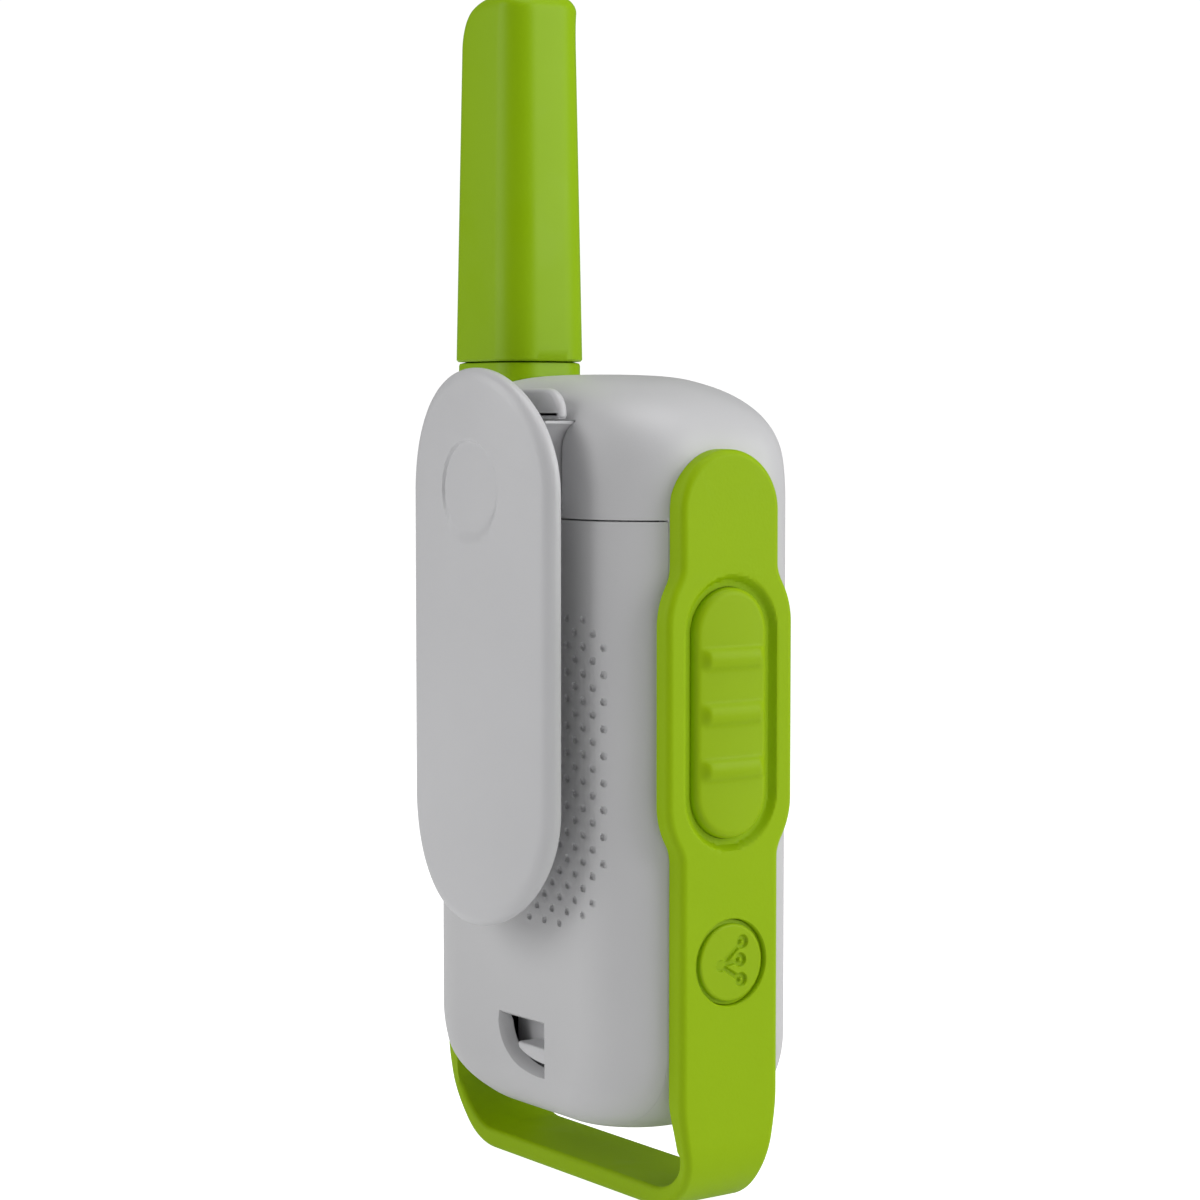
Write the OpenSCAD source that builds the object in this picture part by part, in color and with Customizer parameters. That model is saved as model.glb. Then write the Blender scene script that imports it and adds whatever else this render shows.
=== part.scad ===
// Toy walkie talkie: housing, strap, side buttons, belt clip, battery door, aerial and inner works.
// +Z is up, the front face looks along -Y, the clip is at +Y and the talk button at -X.
// The origin is the middle of the flat underside of the strap's loop.

/* [Body] */
// Width of the body across its sides
body_w = 50; // [48:1:62]
// Height of the body from its lowest point to its crown
body_h = 96.6; // [94:0.2:118]
// Depth from the strap's centre plane to the front face
front_d = 14; // [13.6:0.2:17]
// Wall thickness of the housing and of the battery door
wall = 1.8; // [1.5:0.1:2.2]
// Radius of the upright edges at the front
front_r = 8; // [7:0.5:9]
// Radius of the upright edges at the back
back_r = 10; // [8:0.5:11]
// Radius of the shoulders, seen from the front
shoulder_r = 13; // [11:0.5:15]
// Radius of the lower corners, seen from the front
foot_r = 11; // [9:0.5:13]
// Radius over the crown and under the base, seen from the side
crown_r = 9; // [7:0.5:10]

/* [Battery door] */
// Height of the battery door
door_h = 78.4; // [74:0.2:80]
// Gap round the battery door
door_gap = 0.3; // [0.2:0.05:0.5]
// Width of the finger opening in the door
finger_w = 10.2; // [8:0.2:12]
// Height of the finger opening in the door
finger_h = 7.4; // [6:0.2:9]
// Height of the finger opening above the base of the body
finger_up = 5.8; // [5:0.2:8]

/* [Batteries] */
// Diameter of one AAA cell
cell_d = 10.5; // [8.4:0.1:10.8]
// Length of one AAA cell
cell_l = 44.5; // [40:0.5:46]
// Number of cells side by side
cell_count = 3; // [2:1:3]

/* [Strap] */
// Thickness of the strap on the sides of the body
strap_t = 2; // [1.8:0.1:2.6]
// Width of the strap from its front edge to its back edge
strap_w = 15.4; // [15:0.2:18.6]
// Distance from the crown of the body down to the strap's round ends
strap_drop = 9.5; // [8:0.5:14]
// Thickness of the loop under the body
loop_t = 2.7; // [2:0.1:3.5]
// Width of the loop
loop_w = 12.3; // [9:0.1:14]
// Clear height between the loop and the body
loop_gap = 6.1; // [5:0.1:9]
// Outer radius of the loop's corners
loop_r = 9; // [6:0.5:12]

/* [Talk button] */
// Width of the talk button's pad
ptt_w = 11.5; // [9:0.1:12]
// Height of the talk button's pad
ptt_h = 31.4; // [26:0.2:34]
// Width of the groove round the pad
ptt_groove = 1.6; // [1.2:0.1:1.8]
// Height of the pad's centre above the base of the body
ptt_up = 54.3; // [50:0.1:58]
// Inward travel of the talk button
ptt_travel = 0.8; // [0.4:0.1:0.9]
// Width of the strap's swelling round the talk button
swell_w = 19.8; // [19:0.1:21]
// Height of the strap's swelling round the talk button
swell_h = 41.8; // [38:0.2:46]

/* [Pair button] */
// Diameter of the pair button
pair_d = 9.8; // [8:0.1:10.6]
// Width of the groove round the pair button
pair_groove = 0.55; // [0.3:0.05:0.8]
// Height of the pair button's centre above the base of the body
pair_up = 23.05; // [22:0.05:26]
// Inward travel of the pair button
pair_travel = 0.5; // [0.3:0.1:0.7]

/* [Belt clip] */
// Width of the clip's paddle
paddle_w = 31.7; // [26:0.1:36]
// Height of the clip's paddle
paddle_h = 71.2; // [60:0.2:76]
// Thickness of the clip's paddle
paddle_t = 2; // [1.6:0.1:2.4]
// Radius of the paddle's crowned face
paddle_r = 73; // [60:1:90]
// Height of the paddle's top above the crown of the body
paddle_rise = 0.7; // [0:0.1:3]
// Clear depth between the back of the body and the middle of the paddle
clip_gap = 5.2; // [5.2:0.1:8]
// Width of the clip's bridge
bridge_w = 20.8; // [20:0.1:22]
// Distance from the crown of the body down to the top of the bridge
bridge_drop = 6; // [5:0.1:8]
// Diameter of the plain disc sunk in the paddle
disc_d = 12.3; // [8:0.1:16]

/* [Aerial] */
// Height of the aerial above the crown of the body
aerial_h = 50.3; // [40:0.1:70]
// Width of the aerial's foot, side to side
aerial_w = 16; // [14:0.1:16.6]
// Depth of the aerial's foot, front to back
aerial_d = 14; // [12:0.1:14.4]
// Share of the foot's size that is left at the aerial's tip
aerial_taper = 0.88; // [0.7:0.01:1]
// Distance from the body's middle plane to the aerial's axis
aerial_x = 15; // [13.5:0.1:15.5]
// Distance of the aerial's axis behind the strap's centre plane
aerial_y = 3; // [2.6:0.1:3.4]

/* [Front] */
// Width of the display lens
lens_w = 31; // [26:0.5:34]
// Height of the display lens
lens_h = 21; // [18:0.5:22]
// Diameter of the middle key
menu_d = 9; // [7:0.1:10]
// Width of the two side keys
side_key_w = 7.4; // [6:0.1:8]
// Travel of the front keys
key_travel = 0.5; // [0.3:0.05:0.6]
// Diameter of the loudspeaker
speaker_d = 28; // [24:0.5:29]

/* [Fits] */
// Clearance round a moulded piece that sits still
fit = 0.2; // [0.1:0.05:0.3]
// Clearance round a button's guide stem
stem_fit = 0.08; // [0.05:0.01:0.1]
// Clearance between moving faces of the clip and the catch
move_fit = 0.3; // [0.25:0.05:0.4]

/* [Hidden] */
$fn = 64;

cut = 0.5;                                  // how far a cutting shape runs past the face it opens
z_base = loop_t + loop_gap;                 // lowest point of the body
z_crown = z_base + body_h;                  // highest point of the body
z_seam = z_base + door_h;                   // top edge of the battery door
half_w = body_w / 2;

// Layers of the inside, front to back
board_t = 1.6;
board_y = -3.6;                             // front face of the main board
board_back = board_y + board_t;
tray_t = 1.4;
tray_y = 0.2;                               // front face of the battery tray's floor
cell_y = tray_y + tray_t + cell_d / 2 + 0.15;
back_d = cell_y + cell_d / 2 + 0.35 + wall; // back face of the body
front_in = -front_d + wall;                 // inner faces of the shell
back_in = back_d - wall;
y_split = strap_w / 2;                      // the door's side edges lie along the strap's back edge

// Side buttons
z_ptt = z_base + ptt_up;
z_pair = z_base + pair_up;
groove_depth = 0.9;
lip_t = 0.5;                                // strap left over the talk button's flange
flange_t = 0.6;
flange_x = -half_w - strap_t + groove_depth + lip_t + 0.05;
ptt_flange_w = ptt_w + 2 * ptt_groove - 0.6;
ptt_flange_h = ptt_h + 2 * ptt_groove - 0.6;
pair_flange_d = pair_d + 2 * pair_groove + 1.2;
stem_r = 1.5;
stem_tip = -half_w + wall + 0.3;            // inner end of both stems at rest
pad_proud = 0.5;                            // pads stand this far beyond the strap
ridge_proud = 0.5;
ridge_pitch = 6.9;

// Belt clip
y_paddle_in = back_d + clip_gap;
y_paddle_out = y_paddle_in + paddle_t;
z_paddle = z_crown + paddle_rise - paddle_h / 2;
z_bridge_top = z_crown - bridge_drop;
bridge_h = 11;
z_bridge = z_bridge_top - bridge_h;
flare_r = 4;                                // bell mouth at the bridge's top corners
y_bridge_out = y_paddle_in - 1.3;           // the bridge ends here and the paddle's root begins
seat_depth = 1;                             // the bridge's foot is sunk this far into the housing
y_foot = back_d - seat_depth;
rail_t = 0.8;                               // T-shaped rails under the foot
rail_w = bridge_w + 1.8;
tab_t = 1.4;
tab_w = 25;
tab_h = 3.7;
tab_r = 3.4;
z_tab = z_bridge_top + 0.35;                // lower edge of the tab's finger plate
tongue_w = 13.4;
tab_y = back_d + 0.2;
hook_depth = 0.7;
y_hook = y_foot - hook_depth;               // the hook's tip, in its recess in the channel's floor
web_t = 1.3;                                // bridge's wall next to the paddle

// Aerial
z_aerial = z_crown + aerial_h;
z_collar_top = z_crown + 1.8;
z_shelf = z_crown - 9;                      // shelf inside the housing that the collar stands on
collar_step = 0.5;
aerial_r = 4;
core_r = 3;
coil_wire = 0.5;
coil_turns = 14;
coil_sides = 6;
coil_steps = 12;

// Front
z_lens = z_crown - 23;
z_speaker = z_base + 25.2;
z_keys = (z_lens - lens_h / 2 + z_speaker + speaker_d / 2) / 2 + 0.4;
side_key_x = 13.2;
side_key_h = 9;
key_proud = 0.8;
key_flange = 0.8;
lens_t = 1;
lens_border = 2;
grille_r = 11.6;
grille_pitch = 2.9;
mic_x = 13;
mic_r = 2.6;
z_mic = z_base + 8.7;

// Fasteners
screw_r = 0.8;
screw_head_r = 1.9;
boss_r = 2.6;
boss_x = half_w - 6.5;
boss_z = [z_base + 11.2, z_crown - 14.9];
post_r = 2.2;
posts = [[0, z_crown - 9.4], [-boss_x, z_base + 37.4], [boss_x, z_base + 37.4]];

// Cells and tray
cell_pitch = cell_d + 0.4;
cells_w = cell_pitch * (cell_count - 1) + cell_d;
tray_wall = 1.2;
tray_in_w = cells_w + 2 * fit;
spring_l = 3.6;
plate_t = 0.4;
bay_h = cell_l + spring_l + 2 * plate_t + 0.6;
z_bay = (z_base + z_seam) / 2 + 3;
switch_in = tray_in_w / 2 + tray_wall + 0.35; // inner face of the side switches, beside the tray

// Catch of the battery door
latch_w = 8.6;
latch_t = 1.2;
z_finger = z_base + finger_up;
latch_y = back_in - 2.2;
nose_slope = 0.35;
nose_reach = 3;
keeper_t = 1.3;
z_keeper = z_base + wall + 2.2;

// ---------- shared shapes ----------

// Rectangle with round corners: one radius at the low corners, one at the high corners.
module rounded(x0, x1, y0, y1, low, high) {
    polygon([[x0 + low, y0], [x1 - low, y0], [x1, y0 + low], [x1, y1 - high],
        [x1 - high, y1], [x0 + high, y1], [x0, y1 - high], [x0, y0 + low]]);
    for (x = [x0 + low, x1 - low])
        translate([x, y0 + low]) circle(low);
    for (x = [x0 + high, x1 - high])
        translate([x, y1 - high]) circle(high);
}

// Upright stadium.
module stadium(w, h) {
    square([w, h - w], center = true);
    for (s = [-1, 1])
        translate([0, s * (h - w) / 2]) circle(w / 2);
}

// A flat shape of X and Z carried along Y.
module along_y(y0, y1) {
    translate([0, y1, 0]) rotate([90, 0, 0]) linear_extrude(y1 - y0) children();
}

// A flat shape of Y and Z carried along X.
module along_x(x0, x1) {
    translate([x0, 0, 0]) rotate([90, 0, 90]) linear_extrude(x1 - x0) children();
}

// A round bar along Y, and one along X.
module bar_y(x, z, y0, y1, r) {
    translate([x, y1, z]) rotate([90, 0, 0]) cylinder(h = y1 - y0, r = r);
}

module bar_x(y, z, x0, x1, r) {
    translate([x0, y, z]) rotate([0, 90, 0]) cylinder(h = x1 - x0, r = r);
}

// A box given by its low and high corners.
module block(x0, x1, y0, y1, z0, z1) {
    translate([x0, y0, z0]) cube([x1 - x0, y1 - y0, z1 - z0]);
}

// The body's outer form, drawn in by a distance: plan, front outline and side outline meet.
module form(inset) {
    intersection() {
        translate([0, 0, z_base - cut]) linear_extrude(body_h + 2 * cut)
            rounded(-half_w + inset, half_w - inset, -front_d + inset, back_d - inset,
                front_r - inset, back_r - inset);
        along_y(-front_d - cut, back_d + cut)
            rounded(-half_w + inset, half_w - inset, z_base + inset, z_crown - inset,
                foot_r - inset, shoulder_r - inset);
        along_x(-half_w - cut, half_w + cut)
            rounded(-front_d + inset, back_d - inset, z_base + inset, z_crown - inset,
                crown_r - inset, crown_r - inset);
    }
}

module shell() {
    difference() {
        form(0);
        form(wall);
    }
}

// The part of space that belongs to the battery door, grown by a gap.
module door_space(gap) {
    block(-half_w - cut, half_w + cut, y_split - gap, back_d + cut, z_base - cut, z_seam + gap);
}

// Outline of the bridge: upright sides that flare at the top like a bell mouth.
module bridge_outline(grow, tall) {
    w = bridge_w / 2 + grow;
    translate([-w, z_bridge - grow]) square([2 * w, bridge_h + 2 * grow + tall]);
    for (s = [-1, 1])
        difference() {
            translate([s * (w + flare_r / 2 - 0.01), z_bridge_top - flare_r / 2 + grow / 2 + tall / 2])
                square([flare_r + 0.02, flare_r + grow + tall], center = true);
            translate([s * (w + flare_r), z_bridge_top - flare_r]) circle(flare_r);
        }
}

// A screw along Y with its head's underside at a height.
module screw(x, z, y_head, length, head_t) {
    bar_y(x, z, y_head - length, y_head, screw_r);
    difference() {
        bar_y(x, z, y_head, y_head + head_t, screw_head_r);
        block(x - 1.2, x + 1.2, y_head + head_t - 0.5, y_head + head_t + cut, z - 0.25, z + 0.25);
        block(x - 0.25, x + 0.25, y_head + head_t - 0.5, y_head + head_t + cut, z - 1.2, z + 1.2);
    }
}

// ---------- housing ----------

module main_housing() {
    color([0.86, 0.86, 0.86]) difference() {
        union() {
            difference() {
                shell();
                door_space(0);
            }
            housing_inside();
        }
        housing_openings();
    }
}

// Bosses, posts, the clip's backing, the aerial's shelf and the catch's keeper.
module housing_inside() {
    intersection() {
        form(wall / 2);
        union() {
            for (s = [-1, 1], z = boss_z)
                bar_y(s * boss_x, z, -front_d, tray_y - 0.05, boss_r);
            for (p = posts)
                bar_y(p[0], p[1], -front_d, board_y, post_r);
            block(-rail_w / 2 - 1.6, rail_w / 2 + 1.6, back_in - 1.6, back_d, z_seam, z_crown);
            block(aerial_x - aerial_w / 2 - 0.6, half_w, aerial_y - aerial_d / 2 - 0.6,
                aerial_y + aerial_d / 2 + 0.6, z_shelf - 1.6, z_shelf);
            block(-latch_w / 2 - 1, latch_w / 2 + 1, y_split - keeper_t - 0.4, y_split - 0.4,
                z_base, z_keeper);
            ring_y(0, z_speaker, speaker_d / 2 + fit, 3);
            ring_y(mic_x, z_mic, mic_r + fit, 2.5);
        }
    }
}

// A low wall round a part that sits against the front's inner face.
module ring_y(x, z, r, tall) {
    difference() {
        bar_y(x, z, -front_d, front_in + tall, r + 0.9);
        bar_y(x, z, front_in - cut, front_in + tall + cut, r);
    }
}

module housing_openings() {
    // Screw pilots
    for (s = [-1, 1], z = boss_z)
        bar_y(s * boss_x, z, tray_y - 7, tray_y + cut, screw_r + 0.05);
    for (p = posts)
        bar_y(p[0], p[1], board_y - 5, board_y + cut, screw_r + 0.05);
    // Display: seat for the lens and the window behind it
    along_y(-front_d - cut, -front_d + lens_t + 0.1)
        rounded(-lens_w / 2 - fit, lens_w / 2 + fit, z_lens - lens_h / 2 - fit,
            z_lens + lens_h / 2 + fit, 3 + fit, 3 + fit);
    along_y(-front_d, front_in + cut)
        rounded(-lens_w / 2 + lens_border, lens_w / 2 - lens_border, z_lens - lens_h / 2 + lens_border,
            z_lens + lens_h / 2 - lens_border, 2, 2);
    // Keys
    bar_y(0, z_keys, -front_d - cut, front_in + cut, menu_d / 2 + fit);
    for (s = [-1, 1])
        translate([s * side_key_x, 0, z_keys]) along_y(-front_d - cut, front_in + cut)
            stadium(side_key_w + 2 * fit, side_key_h + 2 * fit);
    // Loudspeaker and microphone
    for (i = [-4 : 4], j = [-4 : 4])
        if (norm([(i + (abs(j) % 2) / 2) * grille_pitch, j * grille_pitch * 0.87]) < grille_r)
            bar_y((i + (abs(j) % 2) / 2) * grille_pitch, z_speaker + j * grille_pitch * 0.87,
                -front_d - cut, front_in + cut, 0.75);
    bar_y(mic_x, z_mic, -front_d - cut, front_in + cut, 0.6);
    // Side buttons: pocket for the flange and hole for the stem
    translate([0, 0, z_ptt])
        along_x(-half_w - cut, flange_x + flange_t + ptt_travel + 0.1)
            stadium(ptt_flange_w + 0.4, ptt_flange_h + 0.4);
    bar_x(0, z_ptt, -half_w - cut, -half_w + wall + cut, stem_r + stem_fit);
    bar_x(0, z_pair, -half_w - cut, flange_x + flange_t + pair_travel + 0.1,
        pair_flange_d / 2 + 0.2);
    bar_x(0, z_pair, -half_w - cut, -half_w + wall + cut, stem_r + stem_fit);
    // Clip: T-shaped channel, open at the top, with a recess for the release tab's hook
    along_y(y_foot, back_d + cut) bridge_outline(move_fit, 12);
    block(-rail_w / 2 - move_fit, rail_w / 2 + move_fit, y_foot - rail_t - move_fit, y_foot + 0.01,
        z_bridge - move_fit, z_crown + cut);
    block(-tongue_w / 2 - move_fit, tongue_w / 2 + move_fit, y_hook - move_fit, back_d,
        z_bridge_top - 3, z_bridge_top - 0.6);
    // Aerial: socket in the crown, and a hole in the shelf for its core
    translate([aerial_x, aerial_y, z_shelf]) linear_extrude(z_crown)
        rounded(-aerial_w / 2 + collar_step - fit, aerial_w / 2 - collar_step + fit,
            -aerial_d / 2 + collar_step - fit, aerial_d / 2 - collar_step + fit,
            aerial_r - collar_step + fit, aerial_r - collar_step + fit);
    translate([aerial_x, aerial_y, z_shelf - 5]) cylinder(h = 10, r = core_r + fit);
    // Slots for the door's two hooks
    for (s = [-1, 1])
        block(s * hook_x - hook_w / 2 - fit, s * hook_x + hook_w / 2 + fit,
            back_in - hook_t - 0.5, back_in + 0.01, z_seam - cut, z_seam + hook_h + 0.4);
}

// ---------- battery door and its catch ----------

hook_x = half_w - 9.2;
hook_w = 4;
hook_t = 1.2;
hook_h = 2.2;

module battery_door() {
    color([0.84, 0.84, 0.84]) {
        difference() {
            union() {
                intersection() {
                    shell();
                    door_space(-door_gap);
                }
                latch_guides();
            }
            finger_opening();
        }
        door_hooks();
    }
}

// Two tongues behind the top edge that hold the door in the housing.
module door_hooks() {
    for (s = [-1, 1])
        block(s * hook_x - hook_w / 2, s * hook_x + hook_w / 2, back_in - hook_t - 0.1, back_in - 0.1,
            z_seam - 4, z_seam + hook_h);
    for (s = [-1, 1])
        block(s * hook_x - hook_w / 2, s * hook_x + hook_w / 2, back_in - 0.11, back_in + wall / 2,
            z_seam - 4, z_seam - 1);
}

// Straight top and side edges, with a round lower edge.
module finger_opening() {
    along_y(latch_y, back_d + cut) intersection() {
        translate([-finger_w / 2, z_finger]) square([finger_w, finger_h]);
        translate([0, z_finger + finger_w * 0.62]) circle(finger_w * 0.62);
    }
}

// Rails on the door's inner face that the catch slides between.
module latch_guides() {
    for (s = [-1, 1])
        intersection() {
            form(wall / 2);
            block(s * (latch_w / 2 + 1.1) - 0.8, s * (latch_w / 2 + 1.1) + 0.8, back_in - 3.4,
                back_d, z_finger + 1, z_finger + 9);
        }
}

// Sliding catch: a finger plate behind the opening and a sloping nose over the keeper.
module door_latch() {
    color([0.8, 0.8, 0.81]) intersection() {
        form(wall + fit);
        union() {
            block(-latch_w / 2, latch_w / 2, back_in - 2, back_in - 2 + latch_t, z_keeper + 0.3,
                z_finger + finger_h * 0.62);
            block(-latch_w / 2 + 1.4, latch_w / 2 - 1.4, back_in - 2 + latch_t - 0.01,
                back_in - 0.1, z_finger + finger_h * 0.42, z_finger + finger_h * 0.62);
            along_x(-latch_w / 2, latch_w / 2) polygon([
                [back_in - 1.9, z_keeper + 0.3],
                [back_in - 1.9, z_keeper + 2.4],
                [nose_y - nose_reach, z_keeper + 2.4],
                [nose_y - nose_reach, z_keeper + 0.1 - nose_slope * nose_reach],
                [nose_y, z_keeper + 0.1],
                [y_split, z_keeper + 0.3]]);
        }
    }
}

nose_y = y_split - keeper_t - 0.5;          // the nose drops behind the keeper from here

// ---------- strap and side buttons ----------

module strap_outline() {
    w = strap_w / 2;
    n = loop_w / 2;
    z_top = z_crown - strap_drop;
    polygon([[-n, 0], [n, 0], [n, loop_r - 3], [w, loop_r + 3], [w, z_top - w], [-w, z_top - w],
        [-w, loop_r + 3], [-n, loop_r - 3]]);
    translate([0, z_top - w]) circle(w);
}

module side_strap() {
    x_out = half_w + strap_t;
    z_high = z_crown + 3 * loop_r;
    color([0.57, 0.74, 0.12]) difference() {
        intersection() {
            union() {
                along_y(-swell_w, swell_w) difference() {
                    rounded(-x_out, x_out, 0, z_high, loop_r, loop_r);
                    rounded(-half_w, half_w, loop_t, z_high - loop_t, loop_r - loop_t, loop_r - loop_t);
                }
                for (s = [-1, 1])
                    block(s * (half_w - 1.3) - 1.4, s * (half_w - 1.3) + 1.4, -swell_w, y_split,
                        z_base + foot_r + 1, z_crown);
            }
            union() {
                along_x(-x_out - cut, x_out + cut) strap_outline();
                translate([0, 0, z_ptt]) along_x(-x_out - cut, 0) stadium(swell_w, swell_h);
            }
        }
        form(-0.05);
        strap_openings();
    }
}

module strap_openings() {
    x_out = half_w + strap_t;
    translate([0, 0, z_ptt]) {
        along_x(-x_out - cut, -x_out + groove_depth)
            stadium(ptt_w + 2 * ptt_groove, ptt_h + 2 * ptt_groove);
        along_x(-x_out - cut, -half_w + wall)
            stadium(ptt_w + 2 * fit, ptt_h + 2 * fit);
        along_x(-x_out + groove_depth + lip_t, -half_w + wall)
            stadium(ptt_flange_w + 0.4, ptt_flange_h + 0.4);
    }
    bar_x(0, z_pair, -x_out - cut, -half_w + wall, pair_d / 2 + pair_groove);
    bar_x(0, z_pair, -x_out + groove_depth + lip_t, -half_w + wall, pair_flange_d / 2 + 0.2);
}

module ptt_button() {
    x_pad = -half_w - strap_t - pad_proud;
    color([0.5, 0.68, 0.1]) {
        translate([0, 0, z_ptt]) {
            along_x(x_pad, flange_x + flange_t) stadium(ptt_w, ptt_h);
            along_x(flange_x, flange_x + flange_t) stadium(ptt_flange_w, ptt_flange_h);
            for (k = [-1 : 1])
                intersection() {
                    translate([0, -ptt_w / 2 + 1, k * ridge_pitch]) rotate([-90, 0, 0])
                        translate([x_pad + 0.8, 0, 0]) cylinder(h = ptt_w - 2, r = 0.8 + ridge_proud);
                    block(x_pad - ridge_proud, x_pad + 0.1, -ptt_w, ptt_w, -ptt_h / 2, ptt_h / 2);
                }
        }
        bar_x(0, z_ptt, flange_x + flange_t / 2, stem_tip, stem_r);
    }
}

module pair_button() {
    x_pad = -half_w - strap_t;
    color([0.5, 0.68, 0.1]) {
        bar_x(0, z_pair, x_pad, flange_x + flange_t, pair_d / 2);
        bar_x(0, z_pair, flange_x, flange_x + flange_t, pair_flange_d / 2);
        bar_x(0, z_pair, flange_x + flange_t / 2, stem_tip, stem_r);
    }
}

// A side switch on the back of the board, with its plunger just beyond the stem's travel.
module side_switch(z, travel) {
    x_tip = stem_tip + travel + 0.05;
    color([0.15, 0.15, 0.16]) block(x_tip + 0.4, -switch_in, board_back, board_back + 3.4, z - 3, z + 3);
    color([0.8, 0.8, 0.8]) bar_x(0, z, x_tip, x_tip + 1, 1);
}

module ptt_switch() {
    side_switch(z_ptt, ptt_travel);
}

module pair_switch() {
    side_switch(z_pair, pair_travel);
}

// ---------- belt clip ----------

module clip_bridge() {
    color([0.83, 0.83, 0.83]) difference() {
        union() {
            along_y(y_foot + 0.1, y_bridge_out) bridge_outline(0, 0);
            block(-bridge_w / 2, bridge_w / 2, y_foot - rail_t, y_foot + 0.2, z_bridge, z_bridge_top - 2);
            block(-rail_w / 2, rail_w / 2, y_foot - rail_t, y_foot - move_fit, z_bridge, z_bridge_top - 2);
        }
        block(-tongue_w / 2 - move_fit, tongue_w / 2 + move_fit, tab_y - move_fit,
            y_bridge_out - web_t, z_bridge + 0.8, z_bridge_top + cut);
        block(-tongue_w / 2 - move_fit, tongue_w / 2 + move_fit,
            y_foot - rail_t - cut, tab_y, z_bridge_top - 4, z_bridge_top + cut);
    }
}

// Space between two upright cylinders: a crowned sheet of even thickness.
module crowned_sheet(outer, thickness) {
    translate([0, outer - paddle_r, z_paddle - paddle_h]) difference() {
        cylinder(h = 2 * paddle_h, r = paddle_r, $fn = 128);
        translate([0, 0, -cut]) cylinder(h = 2 * paddle_h + 2 * cut, r = paddle_r - thickness, $fn = 128);
    }
}

module clip_paddle() {
    color([0.85, 0.85, 0.86]) difference() {
        union() {
            intersection() {
                crowned_sheet(y_paddle_out, paddle_t);
                translate([0, 0, z_paddle]) along_y(back_d, y_paddle_out + cut)
                    stadium(paddle_w, paddle_h);
            }
            block(-bridge_w / 2 + 0.6, bridge_w / 2 - 0.6, y_bridge_out + 0.25, y_paddle_in + paddle_t / 2,
                z_bridge + 1.2, z_bridge_top);
        }
        intersection() {
            crowned_sheet(y_paddle_out + cut, cut + 0.3);
            bar_y(0, z_crown - 14.74, y_paddle_in, y_paddle_out + cut, disc_d / 2);
        }
    }
}

// Springy tab: a tongue inside the bridge, a hook and a round-cornered finger plate.
module clip_release_tab() {
    color([0.78, 0.78, 0.79]) {
        block(-tongue_w / 2, tongue_w / 2, tab_y, tab_y + tab_t, z_bridge + 1.1, z_bridge_top + 0.6);
        along_y(tab_y, tab_y + tab_t) intersection() {
            rounded(-tab_w / 2, tab_w / 2, z_tab - tab_h, z_tab + tab_h, tab_r, tab_r);
            translate([-tab_w / 2, z_tab]) square([tab_w, tab_h]);
        }
        block(-tongue_w / 2 + 1, tongue_w / 2 - 1, y_hook, tab_y + 0.1,
            z_bridge_top - 2.6, z_bridge_top - 1);
    }
}

// ---------- aerial ----------

module aerial_plan(scale_by, grow) {
    rounded(-aerial_w / 2 * scale_by - grow, aerial_w / 2 * scale_by + grow,
        -aerial_d / 2 * scale_by - grow, aerial_d / 2 * scale_by + grow,
        aerial_r * scale_by + grow, aerial_r * scale_by + grow);
}

module aerial_sheath() {
    color([0.55, 0.72, 0.1]) difference() {
        translate([aerial_x, aerial_y, 0]) hull() {
            translate([0, 0, z_collar_top + 0.5]) linear_extrude(0.2) aerial_plan(1, 0, $fn = 32);
            translate([0, 0, z_aerial - 4]) linear_extrude(0.2) aerial_plan(aerial_taper, 0, $fn = 32);
            translate([-0.8, -0.4, z_aerial - 0.2]) linear_extrude(0.2)
                aerial_plan(aerial_taper * 0.78, 0, $fn = 32);
        }
        translate([aerial_x, aerial_y, z_collar_top]) cylinder(h = aerial_h - 9, r = core_r + coil_wire + 0.9);
    }
}

module aerial_collar() {
    color([0.5, 0.68, 0.1]) translate([aerial_x, aerial_y, 0]) difference() {
        translate([0, 0, z_shelf + 0.1]) linear_extrude(z_collar_top + 0.45 - z_shelf - 0.1)
            aerial_plan(1, -collar_step);
        translate([0, 0, z_shelf]) cylinder(h = 20, r = core_r + fit);
    }
}

module aerial_core() {
    color([0.92, 0.9, 0.84]) translate([aerial_x, aerial_y, z_shelf - 2.2])
        cylinder(h = z_aerial - 10.2 - z_shelf + 2.2, r = core_r);
}

// A wire wound round the core: rings of points along a helix, joined into one closed tube.
module aerial_coil() {
    z0 = z_collar_top + 2;
    rise = aerial_h - 18;
    run = core_r + 0.12 + coil_wire / 2;
    steps = coil_turns * coil_steps;
    ring = [for (i = [0 : steps], k = [0 : coil_sides - 1])
        let (t = 360 * i / coil_steps, p = 360 * k / coil_sides,
            r = run + coil_wire / 2 * cos(p))
        [r * cos(t), r * sin(t), rise * i / steps + coil_wire / 2 * sin(p)]];
    sides = [for (i = [0 : steps - 1], k = [0 : coil_sides - 1])
        let (n = (k + 1) % coil_sides, a = i * coil_sides, b = a + coil_sides)
        [a + k, b + k, b + n, a + n]];
    first = [for (k = [0 : coil_sides - 1]) k];
    last = [for (k = [coil_sides - 1 : -1 : 0]) steps * coil_sides + k];
    color([0.72, 0.45, 0.2]) translate([aerial_x, aerial_y, z0])
        polyhedron(points = ring, faces = concat(sides, [first, last]), convexity = 4);
}

// Bent strip from the back of the board to the foot of the core.
module aerial_contact() {
    x = aerial_x - core_r;
    color([0.75, 0.72, 0.6]) {
        block(x, x + 2.4, board_back + 0.02, board_back + 0.42, z_shelf - 7, z_shelf - 2.8);
        block(x, x + 2.4, board_back + 0.02, aerial_y + 1.5, z_shelf - 2.81, z_shelf - 2.4);
    }
}

// ---------- front ----------

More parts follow.
